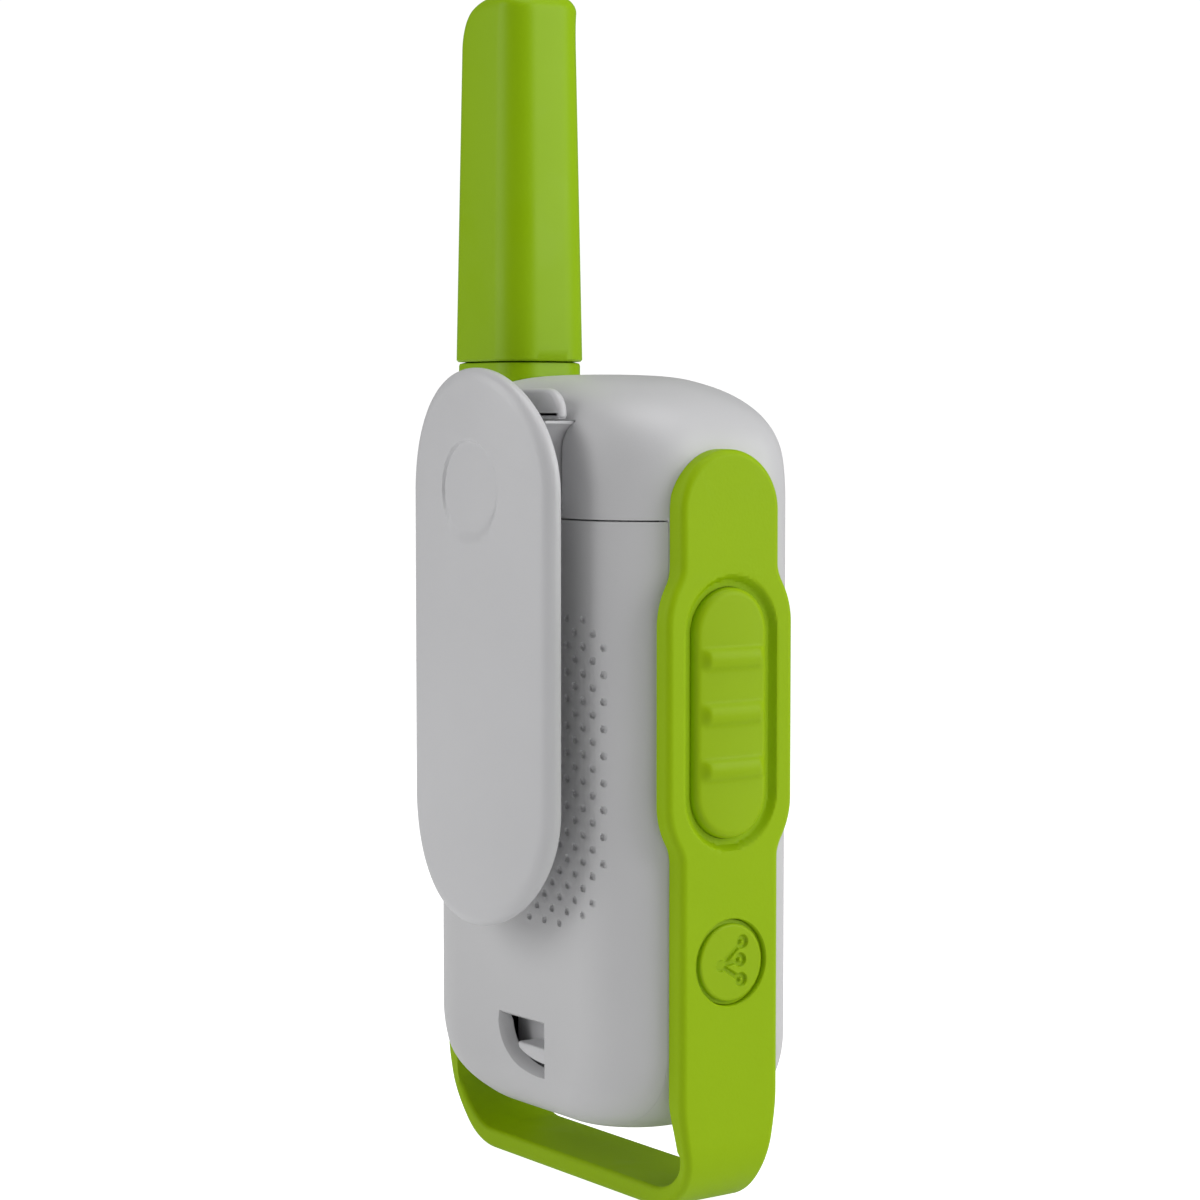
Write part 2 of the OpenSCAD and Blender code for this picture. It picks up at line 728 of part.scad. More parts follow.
module display_lens() {
    color([0.1, 0.12, 0.14, 0.9]) along_y(-front_d + 0.1, -front_d + lens_t)
        rounded(-lens_w / 2, lens_w / 2, z_lens - lens_h / 2, z_lens + lens_h / 2, 3, 3);
}

module lcd_module() {
    color([0.55, 0.62, 0.5]) block(-lens_w / 2 + 1, lens_w / 2 - 1, front_in + 0.3, front_in + 3.5,
        z_lens - lens_h / 2 + 1, z_lens + lens_h / 2 - 1);
}

module lcd_holder() {
    color([0.9, 0.9, 0.88]) difference() {
        block(-lens_w / 2, lens_w / 2, front_in + 3.6, board_y - 0.1, z_lens - lens_h / 2 + 0.5,
            z_lens + lens_h / 2 - 0.5);
        block(-lens_w / 2 + 3, lens_w / 2 - 3, front_in + 5, board_y + cut,
            z_lens - lens_h / 2 + 3, z_lens + lens_h / 2 - 3);
    }
}

key_tip = board_y - 1.9;                    // inner end of the key stems, clear of their switches

module menu_key() {
    color([0.57, 0.74, 0.12]) {
        bar_y(0, z_keys, -front_d - key_proud, front_in + key_flange, menu_d / 2);
        bar_y(0, z_keys, front_in + 0.05, front_in + 0.05 + key_flange, menu_d / 2 + 0.8);
        bar_y(0, z_keys, front_in, key_tip, 1.4);
    }
}

module side_key(s) {
    color([0.57, 0.74, 0.12]) {
        translate([s * side_key_x, 0, z_keys]) {
            along_y(-front_d - key_proud, front_in + key_flange) stadium(side_key_w, side_key_h);
            along_y(front_in + 0.05, front_in + 0.05 + key_flange)
                stadium(side_key_w + 1.4, side_key_h + 1.4);
        }
        bar_y(s * side_key_x, z_keys, front_in, key_tip, 1.4);
    }
}

module up_key() {
    side_key(1);
}

module down_key() {
    side_key(-1);
}

module key_switches() {
    color([0.2, 0.2, 0.2])
        for (x = [-side_key_x, 0, side_key_x]) {
            block(x - 2.6, x + 2.6, board_y - 0.9, board_y - 0.02, z_keys - 2.6, z_keys + 2.6);
            bar_y(x, z_keys, key_tip + key_travel + 0.05, board_y - 0.5, 1.1);
        }
}

// ---------- works ----------

module main_board() {
    color([0.1, 0.36, 0.2]) difference() {
        along_y(board_y, board_back)
            rounded(-half_w + wall + 1.8, half_w - wall - 1.8, z_base + 6, z_crown - 6.6, 6, 9);
        for (s = [-1, 1], z = boss_z)
            bar_y(s * boss_x, z, board_y - cut, board_back + cut, boss_r + fit);
        for (p = posts)
            bar_y(p[0], p[1], board_y - cut, board_back + cut, screw_r + fit);
        block(aerial_x - aerial_w / 2 - 1.2, half_w, board_y - cut, board_back + cut,
            z_shelf - 2.2, z_crown);
    }
}

module rf_shield() {
    color([0.78, 0.78, 0.76]) block(-6, 12, board_back + 0.02, board_back + 1.6, z_lens - 16, z_lens + 6);
}

module speaker_frame() {
    color([0.2, 0.2, 0.22]) translate([0, front_in + 1.1, z_speaker]) rotate([-90, 0, 0])
        difference() {
            cylinder(h = 2.6, r = speaker_d / 2);
            translate([0, 0, -cut]) cylinder(h = 1.5 + cut, r = speaker_d / 2 - 1.5);
            cylinder(h = 5, r = 7.2);
        }
}

module speaker_cone() {
    color([0.3, 0.3, 0.31]) translate([0, front_in + 1.2, z_speaker]) rotate([-90, 0, 0])
        rotate_extrude() polygon([[0, 0.5], [5.6, 0.1], [speaker_d / 2 - 1.7, 0.1],
            [speaker_d / 2 - 1.7, 0.5], [5.6, 1.3], [0, 1.3]]);
}

module speaker_magnet() {
    color([0.45, 0.45, 0.47]) bar_y(0, z_speaker, front_in + 2.6, front_in + 6.4, 7);
}

module speaker_felt() {
    color([0.08, 0.08, 0.08]) bar_y(0, z_speaker, front_in + 0.1, front_in + 0.9, speaker_d / 2 - 1);
}

module microphone() {
    color([0.7, 0.7, 0.68]) bar_y(mic_x, z_mic, front_in + 0.9, front_in + 3.9, mic_r);
}

// ---------- batteries ----------

module battery_tray() {
    w = tray_in_w / 2;
    color([0.25, 0.25, 0.26]) difference() {
        union() {
            block(-w - tray_wall, w + tray_wall, tray_y, tray_y + tray_t, boss_z[0] - 4, boss_z[1] + 3);
            for (s = [-1, 1], z = boss_z)
                block(min(0, s * (boss_x + 2.4)), max(0, s * (boss_x + 2.4)), tray_y, tray_y + tray_t,
                    z - 3, z + 3);
            for (s = [-1, 1])
                block(s * (w + tray_wall / 2) - tray_wall / 2, s * (w + tray_wall / 2) + tray_wall / 2,
                    tray_y, cell_y, z_bay - bay_h / 2 - tray_wall, z_bay + bay_h / 2 + tray_wall);
            for (s = [-1, 1])
                block(-w - tray_wall, w + tray_wall, tray_y, cell_y + 2.5,
                    z_bay + s * (bay_h / 2 + tray_wall / 2) - tray_wall / 2,
                    z_bay + s * (bay_h / 2 + tray_wall / 2) + tray_wall / 2);
        }
        for (s = [-1, 1], z = boss_z)
            bar_y(s * boss_x, z, tray_y - cut, tray_y + tray_t + cut, screw_r + fit);
    }
}

// One cell with its positive cap up, or down for the middle one.
module cell(i, up) {
    x = (i - (cell_count - 1) / 2) * cell_pitch;
    z0 = z_bay - bay_h / 2 + plate_t + 0.1 + (up > 0 ? spring_l : 0.2);
    z_low = z0 + (up > 0 ? 0 : 0.9);
    color([0.72, 0.72, 0.74]) translate([x, cell_y, 0]) {
        translate([0, 0, z_low]) cylinder(h = cell_l - 0.9, r = cell_d / 2);
        translate([0, 0, up > 0 ? z0 + cell_l - 0.91 : z0]) cylinder(h = 0.91, r = cell_d * 0.18);
    }
}

module cell_left() {
    cell(0, 1);
}

module cell_middle() {
    cell(1, -1);
}

module cell_right() {
    cell(2, 1);
}

// Conical springs against the flat ends of the cells, as stepped rings.
module contact_springs() {
    color([0.8, 0.78, 0.7])
        for (i = [0 : cell_count - 1]) {
            x = (i - (cell_count - 1) / 2) * cell_pitch;
            up = i % 2 == 0 ? 1 : -1;
            z0 = up > 0 ? z_bay - bay_h / 2 + plate_t + 0.15 : z_bay + bay_h / 2 - plate_t - 0.15;
            translate([x, cell_y, z0]) mirror([0, 0, up > 0 ? 0 : 1])
                for (k = [0 : 3])
                    translate([0, 0, 0.35 + k * 0.85]) rotate_extrude()
                        translate([3.2 - k * 0.5, 0]) circle(0.35);
        }
}

module contact_plates() {
    color([0.8, 0.8, 0.78])
        for (i = [0 : cell_count - 1], s = [-1, 1]) {
            x = (i - (cell_count - 1) / 2) * cell_pitch;
            z = z_bay + s * (bay_h / 2 - plate_t / 2 - 0.05);
            block(x - cell_d * 0.42, x + cell_d * 0.42, tray_y + tray_t + 0.2, cell_y + 2.4,
                z - plate_t / 2, z + plate_t / 2);
        }
}

module tray_screws() {
    color([0.7, 0.7, 0.72])
        for (s = [-1, 1], z = boss_z)
            screw(s * boss_x, z, tray_y + tray_t + 0.02, 7, 1.2);
}

module board_screws() {
    color([0.7, 0.7, 0.72])
        for (p = posts)
            screw(p[0], p[1], board_back + 0.02, 5.5, 1.1);
}

main_housing();
battery_door();
door_latch();
side_strap();
ptt_button();
pair_button();
clip_bridge();
clip_paddle();
clip_release_tab();
aerial_sheath();
aerial_collar();
aerial_core();
aerial_coil();
aerial_contact();
display_lens();
lcd_module();
lcd_holder();
menu_key();
up_key();
down_key();
key_switches();
main_board();
rf_shield();
speaker_frame();
speaker_cone();
speaker_magnet();
speaker_felt();
microphone();
ptt_switch();
pair_switch();
battery_tray();
cell_left();
cell_middle();
cell_right();
contact_springs();
contact_plates();
tray_screws();
board_screws();
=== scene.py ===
import math

import bmesh
import bpy
import numpy as np
from mathutils import Matrix


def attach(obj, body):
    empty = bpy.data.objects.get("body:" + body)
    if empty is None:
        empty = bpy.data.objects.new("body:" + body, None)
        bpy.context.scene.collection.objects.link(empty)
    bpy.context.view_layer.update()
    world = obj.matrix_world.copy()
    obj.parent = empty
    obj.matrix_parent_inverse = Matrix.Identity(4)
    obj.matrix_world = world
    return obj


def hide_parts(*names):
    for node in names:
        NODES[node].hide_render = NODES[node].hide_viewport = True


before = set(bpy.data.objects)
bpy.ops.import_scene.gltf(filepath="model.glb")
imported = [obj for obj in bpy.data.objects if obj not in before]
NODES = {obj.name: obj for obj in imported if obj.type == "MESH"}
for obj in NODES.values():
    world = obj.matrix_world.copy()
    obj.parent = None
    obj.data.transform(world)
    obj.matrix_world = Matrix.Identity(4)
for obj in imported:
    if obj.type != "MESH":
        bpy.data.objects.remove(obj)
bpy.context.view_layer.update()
MM = 0.001

# ---- Housing -------------------------------------------------------------------------------
# The front shell and the crown over the aerial: one injection moulding in light grey ABS with a
# fine spark-eroded skin. The aerial's socket, the clip's channel, the display's seat, the key
# holes and the loudspeaker's holes are moulded through it.
Z_BASE, Z_CROWN, Z_SEAM, Z_LIP = 8.8, 105.4, 87.2, 9.3
HALF_W, DEEP_FRONT, DEEP_BACK, WALL, EDGE_R = 25.0, 14.0, 14.4, 1.8, 0.22
SPLIT, GAP, SIDE_GAP = 7.7, 0.16, 0.03
FOOT, SHOULDER = (12.1, 1.9), (17.5, 2.85)  # radius and exponent of the ends, seen from the front
FOOT_Y, CROWN_FRONT, CROWN_BACK = 7.4, 12.0, 9.2
CORNER_FRONT, CORNER_BACK = 7.5, 11.1
DOME, DOME_DEEP = 0.0035, 22  # how fast the crown falls off from its middle, and how far down


def drawn_in(away, radius, power):
    """How far a side comes in at a distance from the end of the form. It is a quarter of a
    superellipse: r(1 - (1 - (1 - d/r)^p)^(1/p)), and nothing once d is past r."""
    u = np.clip(1 - away / radius, 0, 1)
    return radius * (1 - (1 - u**power) ** (1 / power))


def body_form(g, z, shrink, inset, split):
    """Points of the body's form, drawn in by inset. Every level is a rectangle with round corners
    whose half sizes come in towards the crown and the foot. g goes along the level's outline
    from the middle of the back (0) through the line y = split (1 and -1) to the middle of the
    front (2 and -2): the length along straight, back arc, straight, front arc, straight is
    shared out evenly inside each part. shrink draws the end levels in to a point."""
    level = np.interp(z, [Z_BASE, 11.5, Z_SEAM, Z_CROWN],
                      [Z_BASE + inset, 11.5, Z_SEAM, Z_CROWN - inset]) if inset else z
    low, high = level - Z_BASE - inset, Z_CROWN - inset - level
    (fr, fp), (sr, sp) = FOOT, SHOULDER
    hx = HALF_W - inset - drawn_in(low, fr - inset, fp) - drawn_in(high, sr - inset, sp)
    hf = DEEP_FRONT - inset - drawn_in(low, FOOT_Y - inset, fp) - drawn_in(high, CROWN_FRONT - inset, sp)
    hb = DEEP_BACK - inset - drawn_in(low, FOOT_Y - inset, fp) - drawn_in(high, CROWN_BACK - inset, sp)
    rf = np.minimum(CORNER_FRONT - inset, 0.95 * np.minimum(hf, hx))
    rb = np.minimum(CORNER_BACK - inset, 0.95 * np.minimum(hb, hx))
    turn = np.arccos(np.clip((split - hb + rb) / rb, 0, 0.97))
    to_split = hx - rb + rb * turn + np.maximum(hb - rb - split, 0)
    parts = np.cumsum([hx - rb, rb * np.pi / 2, hb - rb + hf - rf, rf * np.pi / 2, hx - rf], axis=0)
    a = np.abs(g)
    s = np.where(a <= 1, a * to_split, to_split + (a - 1) * (parts[4] - to_split))
    back, front = (s - parts[0]) / rb, (s - parts[2]) / rf
    x = np.select([s < parts[0], s < parts[1], s < parts[2], s < parts[3]],
                  [s, hx - rb + rb * np.sin(back), hx + 0 * s, hx - rf + rf * np.cos(front)], parts[4] - s)
    y = np.select([s < parts[0], s < parts[1], s < parts[2], s < parts[3]],
                  [hb + 0 * s, hb - rb + rb * np.cos(back), hb - rb - (s - parts[1]),
                   -hf + rf - rf * np.sin(front)], -hf + 0 * s)
    x, y = x * np.sign(g) * shrink, y * shrink
    top = np.clip((level - Z_CROWN + DOME_DEEP) / DOME_DEEP, 0, 1) ** 2
    return np.stack(np.broadcast_arrays(x, y, level - DOME * (x * x + y * y) * top), -1)


def eased(distance, radius):
    """How far a face drops near an edge so that the edge is a quarter round: r - sqrt(r^2 - (r-d)^2)."""
    d = np.clip(distance, 0, radius)
    return radius - np.sqrt(radius**2 - (radius - d) ** 2)


def shaded(mesh, angle=32):
    """Smooth faces, with an edge kept crisp wherever the faces turn by more than the angle."""
    mesh.polygons.foreach_set("use_smooth", np.ones(len(mesh.polygons), bool))
    mesh.set_sharp_from_angle(angle=math.radians(angle))


def solid(name, points, faces, angle=32):
    """An object from points in millimetres and faces of point numbers: points that meet are
    merged, and the closed mesh is turned so that its faces look outwards."""
    mesh = bpy.data.meshes.new(name)
    mesh.from_pydata((np.asarray(points, float).reshape(-1, 3) * MM).tolist(), [], faces)
    work = bmesh.new()
    work.from_mesh(mesh)
    bmesh.ops.remove_doubles(work, verts=work.verts, dist=1e-6)
    bmesh.ops.recalc_face_normals(work, faces=work.faces)
    work.to_mesh(mesh)
    work.free()
    shaded(mesh, angle)
    made = bpy.data.objects.new(name, mesh)
    bpy.context.scene.collection.objects.link(made)
    return made


def walled(outer, inner, kept, around):
    """Faces of a wall between two grids of points. kept marks the cells that are there. Each
    kept cell has a face on both grids, and each side of a kept cell with none beyond it has a
    face across the wall. around joins the last column to the first."""
    rows, cols = outer.shape[:2]
    number = np.arange(rows * cols).reshape(rows, cols)
    if around:
        number = np.concatenate([number, number[:, :1]], 1)
    a, b, c, d = number[:-1, :-1], number[:-1, 1:], number[1:, 1:], number[1:, :-1]
    far = rows * cols
    quads = [np.stack([a, b, c, d], -1)[kept], np.stack([d, c, b, a], -1)[kept] + far]
    pad = np.pad(kept, 1)
    if around:
        pad[1:-1, 0], pad[1:-1, -1] = kept[:, -1], kept[:, 0]
    for gone, p, q in ((~pad[:-2, 1:-1], a, b), (~pad[2:, 1:-1], c, d),
                       (~pad[1:-1, :-2], d, a), (~pad[1:-1, 2:], b, c)):
        pick = kept & gone
        quads.append(np.stack([p[pick] + far, q[pick] + far, q[pick], p[pick]], -1))
    points = np.concatenate([outer.reshape(-1, 3), inner.reshape(-1, 3)])
    return points, np.concatenate(quads).tolist()


def carve(piece, tool, operation="DIFFERENCE"):
    """Takes the tool's solid out of the piece, or adds it, and leaves a plain mesh."""
    step = piece.modifiers.new("carve", "BOOLEAN")
    step.operation, step.object, step.solver = operation, tool, "EXACT"
    ready = piece.evaluated_get(bpy.context.evaluated_depsgraph_get())
    mesh = bpy.data.meshes.new_from_object(ready)
    piece.modifiers.clear()
    piece.data = mesh
    bpy.data.objects.remove(tool)
    shaded(mesh)
    return piece


def stadium(width, height, straight=10, arc=18):
    """Outline of two half circles joined by straight sides, going round it. A row holds a point
    (a, b) and the direction straight out of the outline there."""
    r, run = width / 2, (height - width) / 2
    t = np.linspace(0, np.pi, arc + 1)
    side = np.linspace(-run, run, straight + 1)[1:-1] if run > 1e-6 else np.zeros(0)
    right = np.stack([np.full(side.shape, r), side, 1 + 0 * side, 0 * side], -1)
    top = np.stack([r * np.cos(t), run + r * np.sin(t), np.cos(t), np.sin(t)], -1)
    return np.concatenate([right, top, -right, -top])


def round_box(a0, a1, b0, b1, radii, arc=8):
    """Outline of a rectangle whose four corners are quarter circles, as rows of a point and the
    direction out of it. radii starts at the corner (a0, b0) and goes round to (a0, b1)."""
    out = []
    for (a, b, sa, sb), r, k in zip(((a0, b0, 1, 1), (a1, b0, -1, 1), (a1, b1, -1, -1), (a0, b1, 1, -1)),
                                    radii, (2, 3, 0, 1)):
        t = (np.linspace(0, 1, arc + 1) + k) * np.pi / 2
        out.append(np.stack([a + sa * r + r * np.cos(t), b + sb * r + r * np.sin(t),
                             np.cos(t), np.sin(t)], -1))
    return np.concatenate(out)


def loft(name, outline, rings, place, angle=32):
    """A closed solid carried over an outline. Each ring is the outline drawn in against its
    outward directions by the ring's first value and set at the height of its second, which is a
    number or a function of the ring's points. An outline without directions has them worked out
    square to the line through its neighbours. A ring with no room left inside closes on itself,
    and any other end gets one flat face. place turns (a, b, height) into x, y and z."""
    outline, normal = outline[:, :2], outline[:, 2:]
    if not normal.size:
        tangent = np.roll(outline, -1, 0) - np.roll(outline, 1, 0)
        normal = np.stack([tangent[:, 1], -tangent[:, 0]], -1)
        normal /= np.linalg.norm(normal, axis=1, keepdims=True)
    n, points, flat = len(outline), [], []
    for inward, height in rings:
        p = outline - normal * inward
        h = height(p[:, 0], p[:, 1]) if callable(height) else np.full(n, float(height))
        points.append(place(p[:, 0], p[:, 1], h))
        area = np.sum(p[:, 0] * np.roll(p[:, 1], -1) - p[:, 1] * np.roll(p[:, 0], -1)) / 2
        flat.append(abs(area) > 1e-3)
    i = np.arange(n)
    j = np.roll(i, -1)
    faces = np.concatenate([np.stack([k * n + i, k * n + j, (k + 1) * n + j, (k + 1) * n + i], -1)
                            for k in range(len(rings) - 1)]).tolist()
    if flat[0]:
        faces.append(i[::-1].tolist())
    if flat[-1]:
        faces.append((i + (len(rings) - 1) * n).tolist())
    return solid(name, np.concatenate(points), faces, angle)


def along_y(a, b, h):
    """The outline lies in X and Z, and height goes along Y."""
    return np.stack([a, h, b], -1)


def out_left(a, b, h):
    """The outline lies in Y and Z, and height goes out through the -X side."""
    return np.stack([-h, a, b], -1)


def upright(a, b, h):
    """The outline lies in X and Y, and height goes up."""
    return np.stack([a, b, h], -1)


def ends(r, low, high, steps=4):
    """Rings for a block from height low to high whose two rims are quarter rounds of radius r."""
    t = np.linspace(0, np.pi / 2, steps + 1)
    down = [(r - r * math.sin(k), low + r - r * math.cos(k)) for k in t]
    return down + [(i, low + high - h) for i, h in down[::-1]]


# Levels of the body: rings that close the foot, the foot's curve, the sides, the shoulder, the crown
seam_lines = np.array([0, 0.05, 0.12, 0.25, 0.6])
foot_levels = Z_BASE + FOOT[0] * (1 - np.cos(np.linspace(0, np.pi / 2, 26)))
crown_levels = Z_CROWN - SHOULDER[0] * (1 - np.cos(np.linspace(0, np.pi / 2, 34)))[::-1]
side_levels = np.linspace(foot_levels[-1] + 1.5, Z_SEAM - 1.5, 40)
levels = np.unique(np.round(np.concatenate([
    foot_levels, [Z_LIP], side_levels, Z_SEAM + seam_lines, crown_levels[crown_levels > Z_SEAM + 0.9]]), 4))
closing = np.array([0, 0.2, 0.4, 0.6, 0.8, 0.93])
level = np.concatenate([np.full(6, Z_BASE), levels, np.full(6, Z_CROWN)])[:, None]
shrink = np.concatenate([closing, np.ones(len(levels)), closing[::-1]])[:, None]
front_cols = 1 + np.concatenate([[0.0012, 0.003, 0.006], np.linspace(0.014, 1, 44)])
back_cols = np.concatenate([np.linspace(0, 0.97, 27), [0.985, 1]])
half_cols = np.concatenate([back_cols, front_cols])
cols = np.concatenate([-half_cols[:0:-1], half_cols[:-1]])[None, :]

outer = body_form(cols, level, shrink, 0, SPLIT)
inner = body_form(cols, level, shrink, WALL, SPLIT)
inward = inner - outer
inward /= np.linalg.norm(inward, axis=-1, keepdims=True)
to_edge = np.where((np.abs(cols) <= 1) & (level > Z_SEAM - 0.01), level - Z_SEAM, 9)
outer += inward * eased(np.maximum(to_edge, 0), EDGE_R)[..., None]
mid_level = (level[:-1] + level[1:]) / 2
mid_col = (np.abs(cols) + np.abs(np.roll(cols, -1, 1))) / 2
kept = ~((mid_col < 1) & (mid_level > Z_LIP) & (mid_level < Z_SEAM))
housing = solid("housing_shell", *walled(outer, inner, kept, True))

# Openings of the front: lens seat and window, microphone hole, three key holes, loudspeaker holes
FRONT, Z_LENS, Z_KEYS, KEY_X, Z_SPEAKER = -DEEP_FRONT, 82.4, 60.35, 13.2, 34.0
KEY_HOLE_W, SIDE_HOLE_W = 9.4, 7.8
MIC_X, MIC_Z = 13, 17.5


def moved(outline, a, b):
    """The outline shifted by (a, b)."""
    return outline + np.array([a, b, 0, 0])[:outline.shape[1]]


through = [(0, FRONT - 3), (0, FRONT + 4)]
with_lead = [(-0.5, FRONT - 1), (-0.32, FRONT - 0.02), (0, FRONT + 0.3), (0, FRONT + 4)]
seat = [(0, FRONT - 3), (0, FRONT + 1.1)]
for name, outline, rings in (
        ("seat", round_box(-15.7, 15.7, Z_LENS - 10.7, Z_LENS + 10.7, [3.2] * 4), seat),
        ("window", round_box(-13.5, 13.5, Z_LENS - 8.5, Z_LENS + 8.5, [2] * 4), through),
        ("mic", moved(stadium(1.2, 1.2), MIC_X, MIC_Z), through),
        ("middle", moved(stadium(KEY_HOLE_W, KEY_HOLE_W, arc=35), 0, Z_KEYS), with_lead),
        ("left", moved(stadium(SIDE_HOLE_W, KEY_HOLE_W, 3, 20), -KEY_X, Z_KEYS), with_lead),
        ("right", moved(stadium(SIDE_HOLE_W, KEY_HOLE_W, 3, 20), KEY_X, Z_KEYS), with_lead)):
    carve(housing, loft(name, outline, rings, along_y))
HOLE_PITCH, GRILLE_R, HOLE_SIDES = 2.9, 11.6, 16
lattice = [((i + (abs(j) % 2) / 2) * HOLE_PITCH, j * HOLE_PITCH * 0.87)
           for j in range(-4, 5) for i in range(-4, 5)]
hole_points, hole_faces = [], []
ring, n = np.linspace(0, 2 * np.pi, HOLE_SIDES, endpoint=False), np.arange(HOLE_SIDES)
for a, b in (p for p in lattice if math.hypot(*p) < GRILLE_R):
    first = 2 * HOLE_SIDES * len(hole_points)
    hole_points.append(np.concatenate([np.stack([a + r * np.cos(ring), np.full(HOLE_SIDES, y),
                                                 Z_SPEAKER + b + r * np.sin(ring)], -1)
                                       for r, y in ((1.15, FRONT - 0.4), (0.75, FRONT + 4))]))
    after = np.roll(n, -1)
    hole_faces += (np.stack([n, after, after + HOLE_SIDES, n + HOLE_SIDES], -1) + first).tolist()
    hole_faces += [(n[::-1] + first).tolist(), (n + HOLE_SIDES + first).tolist()]
carve(housing, solid("grille", np.concatenate(hole_points), hole_faces))

# Openings under the strap for the side buttons, the aerial's socket in the crown, and the clip's
# channel in the back
Z_TALK, Z_PAIR, AERIAL_X, AERIAL_Y = 63.1, 31.85, 15.0, 3.0
for width, height, z in ((13.6, 33.5, Z_TALK), (11.6, 11.6, Z_PAIR)):
    carve(housing, loft("side", moved(stadium(width, height), 0, z), [(0, 20), (0, 27)], out_left))
carve(housing, loft("socket", moved(round_box(-7.8, 7.8, -6.8, 6.8, [5.3, 4, 3.6, 4.2]), AERIAL_X, AERIAL_Y),
                    [(0, 96.4), (0, 104.2), (-0.35, 106)], upright))

BRIDGE_HALF, BRIDGE_FOOT, FLARE_FROM, BRIDGE_TOP, FLARE = 10.4, 88.4, 95.4, 99.4, 4.0


def bell(grow, top):
    """Outline of the bridge, grown by a gap: upright sides from its foot that flare near the top
    along 66 degrees of a circle, like a bell mouth."""
    w = BRIDGE_HALF + grow
    t = np.linspace(0, math.radians(66), 14)
    right = np.stack([w + FLARE - FLARE * np.cos(t), FLARE_FROM + grow / 2 + FLARE * np.sin(t)], -1)
    right = np.concatenate([[[w, BRIDGE_FOOT - grow]], right, [[right[-1, 0], top]]])
    return np.concatenate([right, right[::-1] * [-1, 1]])


carve(housing, loft("channel", bell(0.3, 99.45), [(0, 13.4), (0, 14.25), (-0.35, 14.8), (-0.4, 18)], along_y))


def srgb(*levels):
    """A colour given as screen values from 0 to 255, as the renderer's linear numbers: v / 12.92
    for the darkest, and ((v + 0.055) / 1.055)^2.4 for the rest, with v from 0 to 1."""
    return tuple(v / 255 / 12.92 if v < 11 else ((v / 255 + 0.055) / 1.055) ** 2.4 for v in levels) + (1,)


def joined(tree, kind, **settings):
    """A new node of that kind in the tree. Settings name its properties or its inputs; an input's
    value may be a number, a colour or another node's output."""
    made = tree.nodes.new(kind)
    for key, value in settings.items():
        if hasattr(made, key) and key not in made.inputs:
            setattr(made, key, value)
            continue
        socket = made.inputs[int(key[1:]) if key[0] == "i" and key[1:].isdigit() else key.replace("_", " ")]
        if isinstance(value, bpy.types.NodeSocket):
            tree.links.new(value, socket)
        else:
            socket.default_value = value
    return made


def effect(name, inputs, outputs):
    """An empty node group with these number inputs and their values, and these outputs."""
    tree = bpy.data.node_groups.new(name, "ShaderNodeTree")
    tree.interface.new_socket("Vector", in_out="INPUT", socket_type="NodeSocketVector")
    for key, value in inputs.items():
        tree.interface.new_socket(key, in_out="INPUT", socket_type="NodeSocketFloat").default_value = value
    for key in outputs:
        tree.interface.new_socket(key, in_out="OUTPUT", socket_type="NodeSocketFloat")
    return tree, tree.nodes.new("NodeGroupInput").outputs, tree.nodes.new("NodeGroupOutput").inputs


# Moulded skin: the fine pits of a spark-eroded mould, slow drifts of shade where the plastic
# flowed, and patches that handling has rubbed smoother.
SKIN, given, out = effect("moulded skin", {"Grain": 3200.0, "Drift": 45.0, "Rub": 120.0},
                          ("Pits", "Shade", "Rubbed"))
spot = given["Vector"]
pits = joined(SKIN, "ShaderNodeTexNoise", Vector=spot, Scale=given["Grain"], Detail=2.0, Roughness=0.6)
cells = joined(SKIN, "ShaderNodeTexVoronoi", feature="SMOOTH_F1", Vector=spot, Scale=given["Grain"])
mixed = joined(SKIN, "ShaderNodeMath", operation="MULTIPLY_ADD", i0=cells.outputs["Distance"], i1=0.5,
               i2=pits.outputs["Fac"])
drift = joined(SKIN, "ShaderNodeTexNoise", Vector=spot, Scale=given["Drift"], Detail=3.0)
rub = joined(SKIN, "ShaderNodeTexNoise", Vector=spot, Scale=given["Rub"], Detail=6.0, Distortion=0.6)
rubbed = joined(SKIN, "ShaderNodeMapRange", interpolation_type="SMOOTHSTEP", Value=rub.outputs["Fac"])
rubbed.inputs["From Min"].default_value, rubbed.inputs["From Max"].default_value = 0.5, 0.72
SKIN.links.new(mixed.outputs[0], out["Pits"])
SKIN.links.new(drift.outputs["Fac"], out["Shade"])
SKIN.links.new(rubbed.outputs[0], out["Rubbed"])


def moulded(name, colour, deeper, rough, pit=0.12, grain=3200.0, gloss_rub=-0.08, metal=0.0, **fixed):
    """Material of one moulding. Its colour drifts from colour towards deeper with the skin's
    shade, its roughness drops where it is rubbed, and the skin's pits raise a fine bump."""
    material = bpy.data.materials.new(name)
    material.use_nodes = True
    tree = material.node_tree
    tree.nodes.clear()
    place = joined(tree, "ShaderNodeTexCoord")
    skin = joined(tree, "ShaderNodeGroup", node_tree=SKIN, Vector=place.outputs["Object"], Grain=grain)
    tint = joined(tree, "ShaderNodeMix", data_type="RGBA", i0=skin.outputs["Shade"], i6=colour, i7=deeper)
    worn = joined(tree, "ShaderNodeMath", operation="MULTIPLY_ADD", i0=skin.outputs["Rubbed"], i1=gloss_rub,
                  i2=rough)
    bump = joined(tree, "ShaderNodeBump", Strength=pit, Distance=0.0001, Height=skin.outputs["Pits"])
    shader = joined(tree, "ShaderNodeBsdfPrincipled", Base_Color=tint.outputs[2], Roughness=worn.outputs[0],
                    Metallic=metal, Normal=bump.outputs["Normal"], **fixed)
    joined(tree, "ShaderNodeOutputMaterial", Surface=shader.outputs[0])
    return material


def fitted(piece, material, body, slot, *nodes):
    """Gives the piece its material and its body, and hides the CAD nodes that it stands for. slot is not
    used.
    """
    piece.data.materials.clear()
    piece.data.materials.append(material)
    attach(piece, body)
    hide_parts(*nodes)


